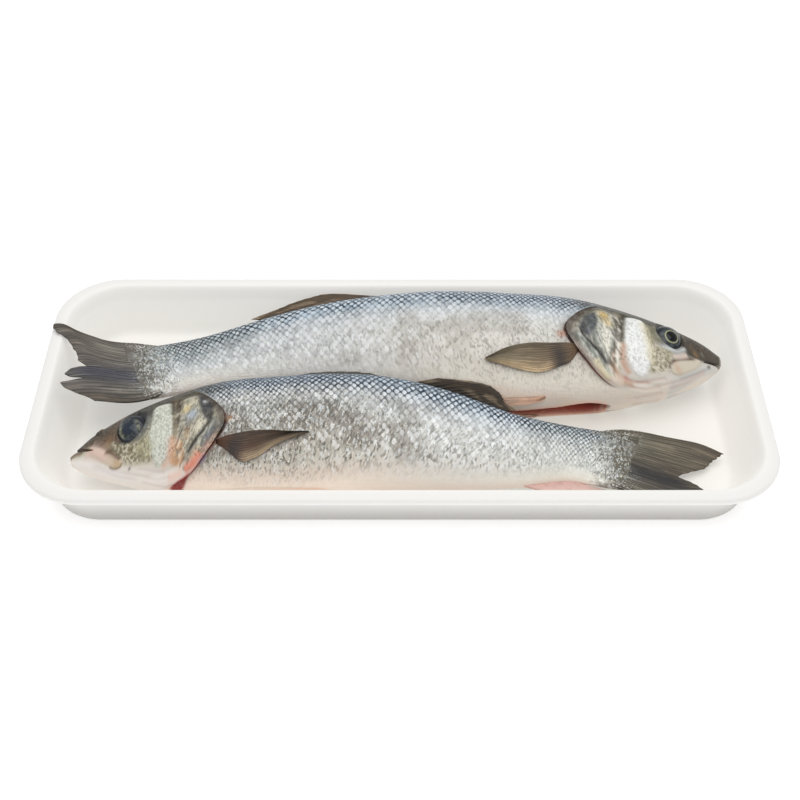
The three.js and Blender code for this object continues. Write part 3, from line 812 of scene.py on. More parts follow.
def edge_reach(fish, folded):
    """How far the gill cover is open: closed at the nape, open down the flank, closed again at the throat."""
    return ramp(48, 66, folded) * (1 - ramp(*fish["throat"], folded))


def map_distance(fish, station_angle, q, h):
    """The distance on the map from a place, in millimetres."""
    place = on_map(fish, [station_angle])[0]
    return np.hypot(q - place[0], h - place[1])


def eye_distance(fish, q, h):
    """The same from the eye, which doesn't turn with the marks of the head."""
    return map_distance({**fish, "turn": 0}, fish["eye"], q, h)


# Plates and grooves of the gill cover, and finer features further forward: shape, places, width or softness
# and height, all in millimetres.
COVER_RELIEF = [(patch, CHEEK, 2.2, 0.7), (stroke, GROOVE, 1.5, -0.75), (patch, OPERCLE, 2.0, 0.45),
                (patch, SUBOPERCLE, 1.8, 0.35), (stroke, PLATE_LINE, 0.8, -0.6),
                (stroke, NAPE_LINE, 1.5, -0.35)]
FACE_RELIEF = [(stroke, CHEEK_BONE, 0.9, 0.3), (stroke, UNDER_EYE, 0.8, -0.25)]
FACE_RELIEF += [(stroke, places, 0.8, -0.35) for places in JAW_LINES + THROAT_LINES]


def head_relief(fish, s, t, q, h):
    """Height in millimetres added to the skin of the head, from the features above."""
    reach = edge_reach(fish, t)
    head = s <= COVER_RING
    rise = 1.35 * ramp(0.19, COVER_RING, s) * reach
    behind = -0.75 * np.exp(-np.maximum(s - COVER_RING, 0) * fish["length"] / 6.0) * reach
    height = np.where(head, rise, behind)
    for shape, places, size, amount in COVER_RELIEF:
        height += amount * shape(fish, q, h, places, size) * head
    jaw_bone = [(patch, fish["maxilla"], 1.6, 0.75), (stroke, fish["maxilla_top"], 0.7, -0.6)]
    for shape, places, size, amount in jaw_bone + FACE_RELIEF:
        height += amount * shape(fish, q, h, places, size)
    away = eye_distance(fish, q, h)
    height += 0.4 * bell(8.6, 1.1, away) - 1.2 * (1 - ramp(6.0, 8.4, away))
    from_hole = map_distance(fish, fish["nostril"], q, h)
    return height + fish["nostril_rim"] * bell(1.3, 0.7, from_hole) - 0.9 * bell(0, 0.9, from_hole)


REAR["nostril"], REAR["nostril_rim"] = (0.047, 84), 0.35
FRONT["nostril"], FRONT["nostril_rim"] = (0.048, 48), 0.8
print("head features: plates, grooves, jaw lines, eye rims and nostrils")

# %% [markdown]
# ## Scales
#
# A bass's scales sit in slanting rows, each one lying over the next towards the tail. Thousands of separate
# scales would be heavy, so they are a pattern on the map: X counts scales along the body and Y counts rows
# round it. With a = X + Y and b = X - Y, each square of (a, b) is one lozenge-shaped scale. The scales are
# about 3.6 mm long on the flank and get smaller at the nape and towards the tail. The same pair of numbers
# goes into the pattern map, so that the painted rims fall on the raised ones.

# %% Scale pattern
SCALE_STATION = [0, 0.1, 0.2, 0.32, 0.5, 0.72, 0.82, 0.9, 1, 1.2]
SCALE_LENGTH = [2.0, 2.3, 2.5, 2.9, 3.6, 3.6, 3.2, 2.6, 2.0, 1.8]
ROW_STEP = 1.38  # height of a scale as a share of its length


def scale_size(fish, u):
    """Length of one scale in millimetres along the body. The table is for the rear fish."""
    return fish["length"] / REAR["length"] * smooth(SCALE_STATION, SCALE_LENGTH, u)


def scale_place(fish, u, h, past):
    """X: the integral of dq / size from the snout. Y: h counted from mid flank, in units of ROW_STEP size.
    Both wander a little, so that the rows aren't ruled."""
    fine = np.linspace(0, 1.2, 601)
    counts = np.concatenate([[0], np.cumsum(fish["length"] * np.diff(fine) / scale_size(fish, fine[1:]))])
    along = u + past / fish["length"]
    x = np.interp(along, fine, counts)
    middle = np.interp(u, MAP_U, fish["girth"][:, 90])
    y = (h - middle) / (ROW_STEP * scale_size(fish, along))
    wander = 0.5 * (mottle(x * 0.35, y * 0.35, 5) - 0.5)
    return x + wander, y + 0.4 * (mottle(x * 0.3 + 9, y * 0.3, 6) - 0.5)


def lozenge(x, y):
    """Distance from the middle of a scale, (|2f-1|^3 + |2g-1|^3)^(1/3): 0 in the middle and 1 on its rim.
    Also the share towards the tail, (f + g) / 2."""
    a, b = x + y, x - y
    f, g = a - np.floor(a), b - np.floor(b)
    rim = (np.abs(2 * f - 1) ** 3 + np.abs(2 * g - 1) ** 3) ** (1 / 3)
    return rim, (f + g) / 2


print("scales along the rear fish:", int(scale_place(REAR, np.array([1.0]), np.array([0.0]), 0)[0][0]))

# %% [markdown]
# ## Mouth and belly cut
#
# Both are openings in soft skin. Cutting holes would leave open edges, so the skin itself is pushed in: at
# the mouth towards the middle of the head along a sloping line, and along the belly up to 12 mm deep, as wide
# as the cut of the solid. The rims of the belly cut turn outwards, as cut belly flaps do.

# %% Mouth and belly cut
SLIT = {"from": 0.205, "to": 0.5, "gape": 3.0, "depth": 11.0, "angle": 187}


def slit_ends(share):
    """1 along the cut, fading to 0 at its two ends."""
    return ramp(0, 0.02, share) * (1 - ramp(0.93, 1, share))


def mouth_pushed(fish, points):
    """m is the distance from the mouth's plane and x the distance behind the snout. Within the gap g(x) the
    skin moves in by a share of its breadth, the press, and back by up to 5 mm. Also returns the mask."""
    mouth = fish["mouth"]
    centre, tailward, back, side = axis_frame(fish, 0.0)
    rel = points - centre
    x, z, w = dot(rel, tailward)[..., 0], dot(rel, back)[..., 0], dot(rel, side)[..., 0]
    m = (z - mouth["height"] + mouth["drop"] * x) / np.sqrt(1 + mouth["drop"] ** 2)
    gap = mouth["gape"] + (0.15 - mouth["gape"]) * (x + 8) / (mouth["depth"] + 8)
    mask = (1 - ramp(0.7 * gap, gap + 0.45, np.abs(m))) * (1 - ramp(mouth["depth"] - 3, mouth["depth"], x))
    inward = -mouth["press"] * np.clip(w, -6, 6) * mask
    backward = 5.0 * mask * (1 - np.clip(x / mouth["depth"], 0, 1))
    return points + side * inward[..., None] + tailward * backward[..., None], mask


def slit_place(fish, u, angle):
    """Share along the cut, half its width there, and the distance across it in millimetres."""
    f = (u - SLIT["from"]) / (SLIT["to"] - SLIT["from"])
    open_half = 0.2 + SLIT["gape"] * smooth([0, 0.05, 0.3, 0.6, 1], [0.3, 1, 0.85, 0.45, 0], f)
    half = section_size(fish, u)[2]
    turn = np.radians(180 - angle), np.radians(180 - SLIT["angle"])
    across = half * (rounded(np.sin(turn[0])) - rounded(np.sin(turn[1])))
    near = (np.abs(angle - 180) < 50) & (f > 0) & (f < 1)
    return np.clip(f, 0, 1), open_half, np.where(near, across, 99.0)


def slit_pushed(fish, u, angle, points, back):
    """Depth 1 + d sqrt(sin(pi (f + 0.1))) inside the cut, and two rolled rims beside it."""
    f, open_half, across = slit_place(fish, u, angle)
    depth = 1 + SLIT["depth"] * np.sqrt(np.maximum(np.sin(np.pi * np.minimum(1, f + 0.1)), 0))
    ends = slit_ends(f)
    inside = (1 - ramp(0.8 * open_half, open_half + 0.4, np.abs(across))) * ends
    rims = 0.3 * bell(open_half + 0.9, 0.8, across) + 1.6 * bell(-open_half - 1.0, 1.0, across)
    return points + back * (depth * inside - rims * ends)[..., None], inside


print("belly cut:", SLIT["from"] * REAR["length"], "to", SLIT["to"] * REAR["length"], "mm from the snout")

# %% [markdown]
# ## Putting the body together
#
# The last steps join the parts above: lean the rings, add the relief and the scales, round the snout, push in
# the mouth and the cut, flatten the tail root, and rest the whole on the tray.

# %% Body surface
# Four small rings ahead of the first: size as a share of it, and distance ahead in millimetres.
NOSE = np.array([[0.25, 1.1], [0.55, 0.9], [0.8, 0.55], [0.93, 0.25]])
SCALE_RISE = 0.16
LIFT_RUN = (-4, 34)  # millimetres from the tail root between which the tail fin lifts


def body_surface(fish):
    """All that the mesh and the paint need: the points of each ring and the numbers that place them."""
    length = fish["length"]
    s, angle = np.meshgrid(S_PLAN, ANGLES, indexing="ij")
    folded = np.minimum(angle, 360 - angle)
    reach = edge_reach(fish, folded)
    fold = FOLD_RINGS
    step = np.zeros(s.shape)
    closed_step = np.linspace(0.1, 1.5, len(FOLD))[:, None]
    step[fold] = reach[fold] * STEP_PLAN[fold, None] + (1 - reach[fold]) * closed_step
    u = np.clip(leaning(s, folded) + step / length, 0, 1)
    past = PAST_PLAN[:, None] + 0 * s
    h = read_table(fish["girth"], u, folded)
    q = u * length + past
    relief = head_relief(fish, s, folded, q, h)
    relief[fold] = OUT_PLAN[fold, None] * reach[fold]
    x, y = scale_place(fish, u, h, past)
    rim, share = lozenge(x, y)
    scaly = ramp(0.272, 0.29, s) * (1 - 0.6 * ramp(0, 12, past)) * (1 - 0.5 * ramp(150, 175, folded))
    scaly = scaly + fish["cheek_scales"] * patch(fish, q, h, CHEEK, 3.0) * (s < COVER_RING)
    f, open_half, across = slit_place(fish, u, angle)
    scaly = scaly * ramp(0, 2.5, np.abs(across) - open_half)
    relief = relief + SCALE_RISE * scaly * (share - ramp(0.75, 1.0, rim))
    relief = relief + 0.12 * (mottle(q / 9, h / 9, 3) - 0.5)

    centre, tailward, back, side = axis_frame(fish, u)
    points = flank_point(fish, u, angle, relief)
    level = unit(tailward * np.array([1, 1, 0]))
    rel = points - centre
    thin = 1 - ramp(0, LOBE, past + 4.0 * (mottle(folded / 5.5, past / 4, 12) - 0.5) * ramp(2, 7, past))
    flat = centre + level * past[..., None] + back * dot(rel, back) * (1 + past / 160)[..., None]
    flat = flat + side * dot(rel, side) * np.maximum(thin, 0.05)[..., None]
    flat[..., 2] += fish["lift"] * ramp(*LIFT_RUN, past) * (past > 0)
    points = np.where(past[..., None] > 0, flat, points)
    points, cut = slit_pushed(fish, u, angle, points, back)
    nose = centre[0] + (points[0] - centre[0]) * NOSE[:, :1, None] - tailward[0] * NOSE[:, 1:, None]
    points = np.concatenate([nose, points])
    points, gap = mouth_pushed(fish, points)

    def with_nose(values):
        return np.concatenate([np.repeat(values[:1], len(NOSE), 0), values])

    under = np.zeros(s.shape)
    ring = np.arange(len(FOLD))[:, None]
    under[fold] = ramp(2.5, 5.5, ring) * (1 - ramp(10, 12, ring))
    place = {"s": s, "u": u, "t": folded, "q": q, "h": h, "cut": cut, "scaly": scaly, "reach": reach, "x": x,
             "y": y, "across": across, "open": open_half, "share": f, "fold": under}
    place = {key: with_nose(values) for key, values in place.items()}
    return rested(points), place | {"gap": gap}


REAR["cheek_scales"], FRONT["cheek_scales"] = 0.12, 0.5
surfaces = {fish["name"]: body_surface(fish) for fish in (REAR, FRONT)}
for name, (points, place) in surfaces.items():
    z = points[..., 2]
    print(name, points.shape, "lowest", z.min().round(2), "highest", z.max().round(2))

# %% [markdown]
# ## Painting a bass
#
# The colours follow the anatomy, so they are painted on the same skin map and stored on the vertices. A base
# coat runs from the dark back over the silver flank to the cream belly, and its palest rows on the flank
# also hold a painted highlight, the sheen of the overhead light. Over it come the marks of the head, brushed
# on as patches, strokes and spots. The two fish differ, as caught fish do: the rear one is brighter, and the
# front one has bold dark scale edges and a redder gill.

# %% Base coats
# Each coat has a fore, a middle and a tail table, at the stations below, with rows [angle, red, green, blue].
COAT_STATIONS = [0.4, 0.72, 0.93]
# The palest rows on the flank are the silver skin plus a painted highlight, the overhead light's sheen.
REAR["coat"] = [[[0, 118, 136, 154], [30, 166, 186, 204], [50, 186, 200, 214], [64, 190, 202, 212],
                 [78, 224, 227, 228], [92, 214, 212, 205], [110, 214, 208, 198], [125, 206, 199, 188],
                 [140, 228, 221, 207], [160, 242, 231, 216], [180, 242, 229, 216]],
                [[0, 122, 142, 160], [30, 174, 194, 212], [50, 202, 219, 233], [66, 196, 212, 224],
                 [80, 212, 216, 220], [95, 220, 222, 222], [110, 200, 201, 200], [140, 214, 212, 208],
                 [160, 228, 222, 212], [180, 228, 216, 206]],
                [[0, 120, 132, 140], [30, 165, 178, 184], [50, 182, 190, 192], [66, 174, 184, 186],
                 [82, 168, 178, 180], [95, 184, 190, 192], [110, 202, 206, 206], [125, 216, 216, 212],
                 [140, 224, 220, 210], [180, 226, 216, 206]]]
FRONT["coat"] = [[[0, 108, 124, 142], [30, 158, 176, 194], [48, 186, 200, 214], [60, 216, 220, 223],
                  [70, 226, 226, 222], [80, 182, 182, 178], [95, 180, 177, 168], [112, 175, 167, 155],
                  [126, 195, 188, 175], [142, 234, 217, 201], [156, 252, 236, 221], [180, 252, 237, 224]],
                 [[0, 116, 134, 154], [30, 178, 198, 216], [50, 206, 222, 236], [66, 218, 228, 237],
                  [80, 224, 229, 231], [95, 228, 229, 226], [112, 214, 214, 209], [140, 220, 216, 208],
                  [156, 230, 224, 214], [180, 234, 220, 210]],
                 [[0, 112, 124, 132], [30, 170, 182, 188], [50, 196, 208, 214], [80, 216, 220, 218],
                  [95, 224, 226, 222], [125, 220, 220, 214], [140, 226, 224, 214], [156, 230, 224, 210],
                  [180, 234, 218, 206]]]
REAR["head_coat"] = [[0, 40, 38, 32], [45, 50, 47, 40], [57, 66, 62, 50], [66, 120, 114, 96],
                     [76, 186, 180, 164], [110, 196, 190, 178], [130, 206, 199, 189], [145, 222, 216, 206],
                     [165, 238, 228, 214], [180, 238, 226, 214]]
FRONT["head_coat"] = [[0, 50, 48, 42], [42, 58, 55, 48], [58, 70, 66, 54], [66, 116, 112, 92],
                      [76, 176, 172, 152], [100, 188, 184, 162], [125, 202, 193, 174], [140, 230, 223, 214],
                      [160, 242, 236, 230], [180, 244, 236, 230]]


def coat_colour(rows, t):
    """The display colour at each angle, from rows [angle, red, green, blue], as linear light."""
    angles, *channels = zip(*rows)
    display = np.stack([np.interp(t, angles, channel) for channel in channels], -1)
    return (display / 255) ** 2.2


def between_stations(u, tables):
    """Blends three grids from the fore table to the middle and tail ones as the station passes theirs."""
    fore, middle, tail = tables
    first, second, third = COAT_STATIONS
    a, b = ramp(first, second, u), ramp(second, third, u)
    if fore.ndim > u.ndim:
        a, b = a[..., None], b[..., None]
    return (fore * (1 - a) + middle * a) * (1 - b) + tail * b


def brushed(colour, shade, mask):
    """colour (1 - mask) + shade mask."""
    mask = np.clip(mask, 0, 1)[..., None]
    return colour * (1 - mask) + np.array(tint(*shade)) * mask


print("base coats run from the back at 0 to the belly at 180 degrees")

# %% Head marks
# Each mark is a kind, its places, its width or softness in millimetres, a display colour and a strength. The
# kinds dark grain, pale grain, pale dots and specks fill their outline with streaks or dots only.
COVER = [(0.19, 64), (0.22, 67), (0.25, 72), (0.266, 86), (0.26, 102), (0.232, 128), (0.205, 142),
         (0.194, 130), (0.19, 96)]
SNOUT = [(0.0, 20), (0.0, 90), (0.03, 100), (0.06, 100), (0.09, 60), (0.12, 20)]
CROWN = [(0.0, -60), (0.0, 60), (0.09, 56), (0.15, 60), (0.19, 54), (0.27, 60), (0.27, -60)]
REAR["under_cheek"] = [(0.104, 104), (0.13, 100), (0.147, 84), (0.15, 128), (0.12, 136), (0.106, 128)]
FRONT["under_cheek"] = [(0.072, 100), (0.1, 106), (0.13, 102), (0.147, 84), (0.15, 128), (0.12, 134),
                        (0.095, 134), (0.085, 126)]
REAR["marks"] = [
    ("specks", CROWN, 4, (50, 48, 42), 0.45),
    ("pale dots", CROWN, 4, (138, 134, 118), 0.35),
    ("patch",
     [(0.0, 20), (0.0, 172), (0.006, 150), (0.01, 136), (0.02, 128), (0.04, 118), (0.056, 112), (0.07, 105),
      (0.085, 98), (0.1, 60), (0.09, 20)], 1.8, (70, 63, 54), 0.97),
    ("spot", [(0.054, 102)], 1.7, (150, 118, 84), 0.6),
    ("spot", [(0.04, 100)], 1.2, (140, 132, 120), 0.5),
    ("patch", [(0.1, 60), (0.14, 66), (0.149, 84), (0.142, 96), (0.12, 90)], 3.0, (126, 122, 96), 0.7),
    ("patch", [(0.012, 138), (0.045, 127), (0.056, 135), (0.075, 141), (0.1, 147), (0.1, 180), (0.01, 180)],
     2.0, (214, 213, 208), 0.85),
    ("patch", REAR["maxilla"], 1.3, (212, 202, 184), 0.95),
    ("spot", [(0.092, 130)], 2.4, (206, 176, 150), 0.7),
    ("stroke", REAR["maxilla_top"], 0.75, (84, 62, 46), 0.9),
    ("stroke", [(0.102, 111), (0.086, 110), (0.07, 106)], 1.2, (232, 212, 198), 0.85),
    ("stroke", [(0.126, 98), (0.102, 101), (0.085, 99), (0.074, 93)], 1.3, (206, 210, 208), 0.85),
    ("stroke", [(0.022, 134), (0.03, 136)], 0.6, (104, 102, 98), 0.8),
    ("stroke", [(0.024, 140), (0.045, 143), (0.064, 146), (0.09, 150)], 0.6, (172, 175, 174), 0.6),
    ("patch", [(0.1, 104), (0.13, 100), (0.142, 112), (0.15, 132), (0.12, 134), (0.108, 122)], 2.5,
     (178, 168, 138), 0.75),
    ("pale dots", REAR["under_cheek"], 3, (238, 234, 216), 0.55),
    ("specks", REAR["under_cheek"], 3, (92, 84, 60), 0.6),
    ("specks", SNOUT, 3, (48, 42, 36), 0.5),
    ("pale dots", SNOUT, 3, (112, 98, 80), 0.4),
    ("patch", CHEEK, 2.6, (246, 247, 244), 1.0),
    ("specks", CHEEK, 3, (168, 170, 166), 0.45),
    ("stroke", [(0.156, 62), (0.15, 84), (0.144, 104), (0.143, 124)], 2.4, (228, 216, 178), 0.6),
    ("patch", [(0.188, 60), (0.205, 60), (0.207, 100), (0.212, 124), (0.196, 136), (0.19, 110)], 1.6,
     (196, 186, 164), 0.9),
    ("stroke", [(0.184, 54), (0.19, 68), (0.193, 90), (0.196, 100)], 1.7, (62, 58, 42), 0.95),
    ("stroke", [(0.204, 60), (0.203, 84), (0.207, 104), (0.211, 118)], 1.5, (84, 70, 50), 0.9),
    ("stroke", [(0.189, 98), (0.191, 112), (0.187, 126), (0.176, 138)], 1.7, (196, 152, 126), 0.8),
    ("stroke", [(0.206, 108), (0.208, 120), (0.2, 134), (0.186, 146), (0.165, 152)], 1.8, (192, 152, 126),
     0.75),
    ("stroke", [(0.196, 80), (0.198, 100), (0.199, 118), (0.196, 130)], 0.9, (238, 232, 222), 0.8),
    ("patch", OPERCLE, 1.8, (176, 178, 168), 0.85),
    ("patch", [(0.208, 84), (0.222, 82), (0.226, 100), (0.216, 116), (0.211, 112)], 2.0,
     (226, 222, 206), 0.8),
    ("patch", SUBOPERCLE, 1.6, (134, 142, 134), 0.9),
    ("dark grain", COVER, 3, (62, 62, 54), 0.6),
    ("pale grain", COVER, 3, (240, 238, 226), 0.5),
    ("stroke", [(0.188, 54), (0.204, 58), (0.222, 58), (0.242, 63), (0.262, 76), (0.27, 88)], 2.9,
     (76, 70, 52), 0.9),
    ("spot", [(0.222, 71)], 2.6, (226, 190, 110), 0.85),
    ("spot", [(0.215, 80)], 2.4, (232, 208, 156), 0.75),
    ("patch", [(0.236, 70), (0.252, 76), (0.262, 88), (0.256, 94), (0.244, 96), (0.232, 84)], 2.2,
     (52, 60, 68), 0.9),
    ("stroke", [(0.232, 90), (0.238, 98), (0.23, 106)], 1.6, (110, 118, 112), 0.7),
    ("stroke", [(0.262, 100), (0.248, 114), (0.23, 128)], 0.9, (212, 216, 206), 0.6),
    ("stroke", [(0.238, 118), (0.22, 134), (0.207, 142)], 2.0, (230, 218, 182), 0.8),
    ("stroke", PLATE_LINE, 0.95, (28, 28, 30), 1.0),
    ("stroke", [(0.21, 138), (0.198, 144), (0.186, 150)], 2.6, (236, 218, 200), 0.7),
    ("spot", [(0.184, 141)], 1.2, (200, 104, 90), 0.6),
    ("stroke", [(0.184, 142), (0.165, 148), (0.14, 150)], 0.5, (208, 146, 132), 0.5),
]
FRONT["marks"] = [
    ("specks", CROWN, 4, (44, 41, 34), 0.45),
    ("pale dots", CROWN, 4, (128, 122, 104), 0.35),
    ("patch",
     [(0.0, 20), (0.0, 84), (0.012, 90), (0.03, 94), (0.048, 104), (0.058, 112), (0.07, 112), (0.085, 100),
      (0.1, 60), (0.09, 20)], 2.5, (92, 78, 64), 0.95),
    ("patch", [(0.0, 20), (0.0, 80), (0.02, 76), (0.045, 74), (0.07, 62), (0.09, 50), (0.09, 20)], 4,
     (66, 63, 56), 0.9),
    ("spot", [(0.064, 98)], 3.2, (136, 102, 76), 0.7),
    ("patch", [(0.0, 128), (0.03, 120), (0.055, 137), (0.08, 148), (0.09, 180), (0.0, 180)], 3.0,
     (242, 238, 234), 0.9),
    ("patch",
     [(0.06, 98), (0.1, 106), (0.13, 102), (0.15, 106), (0.15, 128), (0.12, 134), (0.095, 134), (0.085, 124)],
     4, (148, 138, 112), 0.9),
    ("patch", FRONT["maxilla"], 1.6, (212, 192, 172), 0.95),
    ("specks", SNOUT, 3, (54, 46, 38), 0.5),
    ("pale dots", SNOUT, 3, (126, 106, 86), 0.4),
    ("stroke", [(0.028, 101), (0.036, 106), (0.048, 114), (0.062, 124)], 2.2, (220, 192, 180), 0.85),
    ("stroke", FRONT["maxilla_top"], 1.0, (98, 74, 52), 0.85),
    ("patch", [(0.07, 128), (0.084, 130), (0.081, 139), (0.07, 142)], 1.6, (192, 166, 130), 0.7),
    ("stroke", [(0.086, 131), (0.081, 140), (0.069, 145), (0.06, 140)], 0.6, (132, 112, 86), 0.75),
    ("stroke", [(0.0, 138), (0.0, 120), (0.003, 108), (0.012, 99), (0.026, 102)], 1.0, (112, 92, 76), 0.9),
    ("pale dots", FRONT["under_cheek"], 3, (226, 222, 200), 0.7),
    ("specks", FRONT["under_cheek"], 3, (78, 70, 44), 0.5),
    ("patch", CHEEK, 2.0, (224, 226, 212), 0.95),
    ("specks", CHEEK, 3, (110, 116, 104), 0.4),
    ("stroke", [(0.12, 106), (0.134, 113), (0.142, 124)], 3.2, (190, 186, 150), 0.6),
    ("patch", [(0.186, 56), (0.204, 60), (0.205, 100), (0.208, 118), (0.2, 128), (0.188, 112)], 1.8,
     (150, 136, 112), 0.9),
    ("stroke", [(0.184, 52), (0.187, 68), (0.189, 84)], 1.3, (74, 64, 46), 0.85),
    ("stroke", [(0.198, 54), (0.2, 72), (0.203, 92), (0.207, 112)], 2.2, (52, 42, 30), 0.95),
    ("patch", [(0.184, 106), (0.205, 112), (0.21, 126), (0.198, 138), (0.18, 134)], 2.6,
     (200, 152, 112), 0.9),
    ("stroke", [(0.184, 104), (0.182, 120), (0.174, 134), (0.16, 141)], 1.9, (222, 180, 158), 0.6),
    ("spot", [(0.198, 124)], 1.6, (226, 206, 176), 0.7),
    ("patch", OPERCLE, 2.0, (196, 190, 168), 0.85),
    ("patch", SUBOPERCLE, 1.6, (112, 116, 112), 0.85),
    ("dark grain", COVER, 3, (74, 66, 50), 0.6),
    ("pale grain", COVER, 3, (234, 226, 204), 0.5),
    ("stroke", [(0.188, 52), (0.204, 57), (0.222, 57), (0.244, 62), (0.262, 74), (0.274, 88)], 2.6,
     (78, 72, 54), 0.85),
    ("spot", [(0.222, 87)], 3.0, (160, 176, 196), 0.75),
    ("spot", [(0.213, 80)], 2.2, (232, 208, 150), 0.75),
    ("stroke", [(0.215, 98), (0.213, 112)], 1.6, (166, 128, 92), 0.6),
    ("patch", [(0.232, 62), (0.25, 68), (0.262, 80), (0.258, 92), (0.246, 92), (0.236, 78)], 2.2,
     (34, 40, 50), 0.95),
    # a painted highlight: the white glint on the wet dark blotch of the gill cover
    ("spot", [(0.246, 76)], 0.8, (226, 226, 222), 0.9),
    ("stroke", [(0.266, 100), (0.25, 112)], 1.6, (92, 104, 124), 0.7),
    ("stroke", [(0.24, 116), (0.222, 132)], 2.4, (206, 186, 156), 0.75),
    ("stroke", PLATE_LINE, 1.1, (34, 28, 22), 1.0),
    ("stroke", [(0.241, 122), (0.225, 134), (0.206, 143)], 2.3, (236, 150, 124), 0.85),
    ("stroke", [(0.206, 143), (0.19, 150), (0.17, 156)], 2.0, (242, 196, 176), 0.6),
    ("spot", [(0.098, 143)], 0.8, (128, 116, 118), 0.9),
]
for fish in (REAR, FRONT):
    print(fish["name"], "has", len(fish["marks"]), "head marks")

# %% Painted skin


def eye_surround(fish, colour, place):
    """A dark socket, with pale wet flecks of bone round it."""
    away = eye_distance(fish, place["q"], place["h"])
    colour = brushed(colour, (66, 66, 62), 0.85 * (1 - ramp(9.5, 14.5, away)))
    wet = ramp(0.35, 0.65, mottle(place["q"] / 3, place["h"] / 3, 51)) * ramp(66, 80, place["t"])
    colour = brushed(colour, fish["socket"], 0.7 * bell(9.4, 1.2, away) * wet)
    return brushed(colour, (46, 49, 52), 1 - ramp(7.4, 9.0, away))


def head_painted(fish, place):
    """The colour of the head: its coat, the eye's socket, the marks one over the other, and fine lines."""
    q, h = place["q"], place["h"]
    colour = eye_surround(fish, coat_colour(fish["head_coat"], place["t"]), place)
    streaks, dots = mottle(q / 1.0 + h / 3, h / 2.4, 31), mottle(q / 0.65, h / 0.7, 33)
    fills = {"patch": 1.0, "dark grain": ramp(0.52, 0.76, streaks), "specks": ramp(0.56, 0.76, dots),
             "pale grain": 1 - ramp(0.24, 0.46, streaks), "pale dots": 1 - ramp(0.26, 0.44, dots)}
    for kind, places, size, shade, strength in fish["marks"]:
        if kind == "stroke":
            mask = stroke(fish, q, h, places, size)
        elif kind == "spot":
            mask = bell(0, size, map_distance(fish, *places, q, h))
        else:
            mask = patch(fish, q, h, places, size) * fills[kind]
        colour = brushed(colour, shade, strength * mask)
    for places in JAW_LINES + THROAT_LINES:
        colour = brushed(colour, fish["line_tone"], 0.3 * stroke(fish, q, h, places, 0.7))
    return colour


def gill_painted(fish, place, colour):
    """The gill cover's rim, painted shadow behind it, and the red gill under it, its top in painted shade."""
    s, t, reach = place["s"], place["t"], place["reach"]
    low = ramp(96, 120, t)
    edge = reach * ramp(COVER_RING - 0.018, COVER_RING - 0.003, s) * (s <= COVER_RING)
    colour = brushed(colour, (66, 54, 44), 0.85 * edge * (1 - ramp(96, 112, t)))
    colour = brushed(colour, fish["gill_rim"], 0.35 * edge * ramp(96, 112, t))
    behind = reach * np.exp(-np.maximum(s - COVER_RING, 0) * fish["length"] / 1.6) * (s > COVER_RING)
    colour = brushed(colour, (52, 30, 26), behind * (1 - 0.4 * low))
    colour = brushed(colour, fish["gill"], place["fold"] * reach)
    # Painted shade: under the upper part of the cover the gill is painted near black.
    return brushed(colour, (28, 20, 18), place["fold"] * reach * (1 - ramp(95, 125, t)))


def cut_painted(place, colour):
    """The belly cut: a pale rim, pink flesh at the edge, red inside and a dark front end."""
    beside, ends = np.abs(place["across"]) - place["open"], slit_ends(place["share"])
    near_cut = bell(0, 1.6, np.maximum(beside - 0.5, 0)) * (beside < 40) * ends
    colour = brushed(colour, (240, 196, 172), 0.85 * near_cut)
    colour = brushed(colour, (200, 112, 96), (1 - ramp(0.0, 0.5, beside)) * ends)
    within = (1 - ramp(-0.5, 0.1, beside)) * ends
    colour = brushed(colour, (152, 66, 62), within)
    return brushed(colour, (56, 14, 14), within * (1 - ramp(0.02, 0.14, place["share"])))


def tail_distance(fish, place):
    """Millimetres past the tail root, less than 0 before it, with an uneven front."""
    q = place["q"]
    return q - fish["length"] + 8 * (mottle(place["t"] / 7, q / 6, 41) - 0.5)


def painted(fish, place):
    """The base colour of the whole skin: coat, head marks, gill, wounds and the flesh of the belly cut."""
    u, t, q, h = (place[key] for key in ("u", "t", "q", "h"))
    colour = between_stations(u, [coat_colour(rows, t) for rows in fish["coat"]])
    patches = ramp(0.45, 0.75, mottle(q / 13, h / 9, 17)) * ramp(66, 84, t) * (1 - ramp(128, 146, t))
    colour = brushed(colour, fish["smudge"], fish["smudged"] * patches * (1 - ramp(0.55, 0.75, u)))
    blush = ramp(0.5, 0.8, mottle(q / 16, h / 10, 18)) * ramp(134, 150, t) * (1 - ramp(0.5, 0.64, u))
    colour = brushed(colour, fish["blush"], 0.4 * blush)
    colour = brushed(colour, fish["nape_tone"], 0.8 * (1 - ramp(0.23, 0.31, u)) * (1 - ramp(52, 66, t)))
    on_head = place["s"] <= COVER_RING
    colour = np.where(on_head[..., None], head_painted(fish, place), colour)
    colour = gill_painted(fish, place, colour)
    for station_angle, size, shade, strength in fish["sores"]:
        colour = brushed(colour, shade, strength * bell(0, size, map_distance(fish, station_angle, q, h)))
    if "wound" in fish:
        colour = brushed(colour, (140, 26, 22), 0.95 * patch(fish, q, h, fish["wound"], 1.2))
    end, start = tail_distance(fish, place), fish["lobe_start"]
    colour = brushed(colour, fish["lobe_tone"], 0.95 * ramp(start, start + 15, end))
    colour = brushed(colour, fish["lobe_rim"], 0.85 * ramp(start, start + 12, end) * (1 - ramp(34, 58, t)))
    colour = cut_painted(place, colour)
    return brushed(colour, fish["mouth_tone"], ramp(0.35, 0.8, place["gap"]))


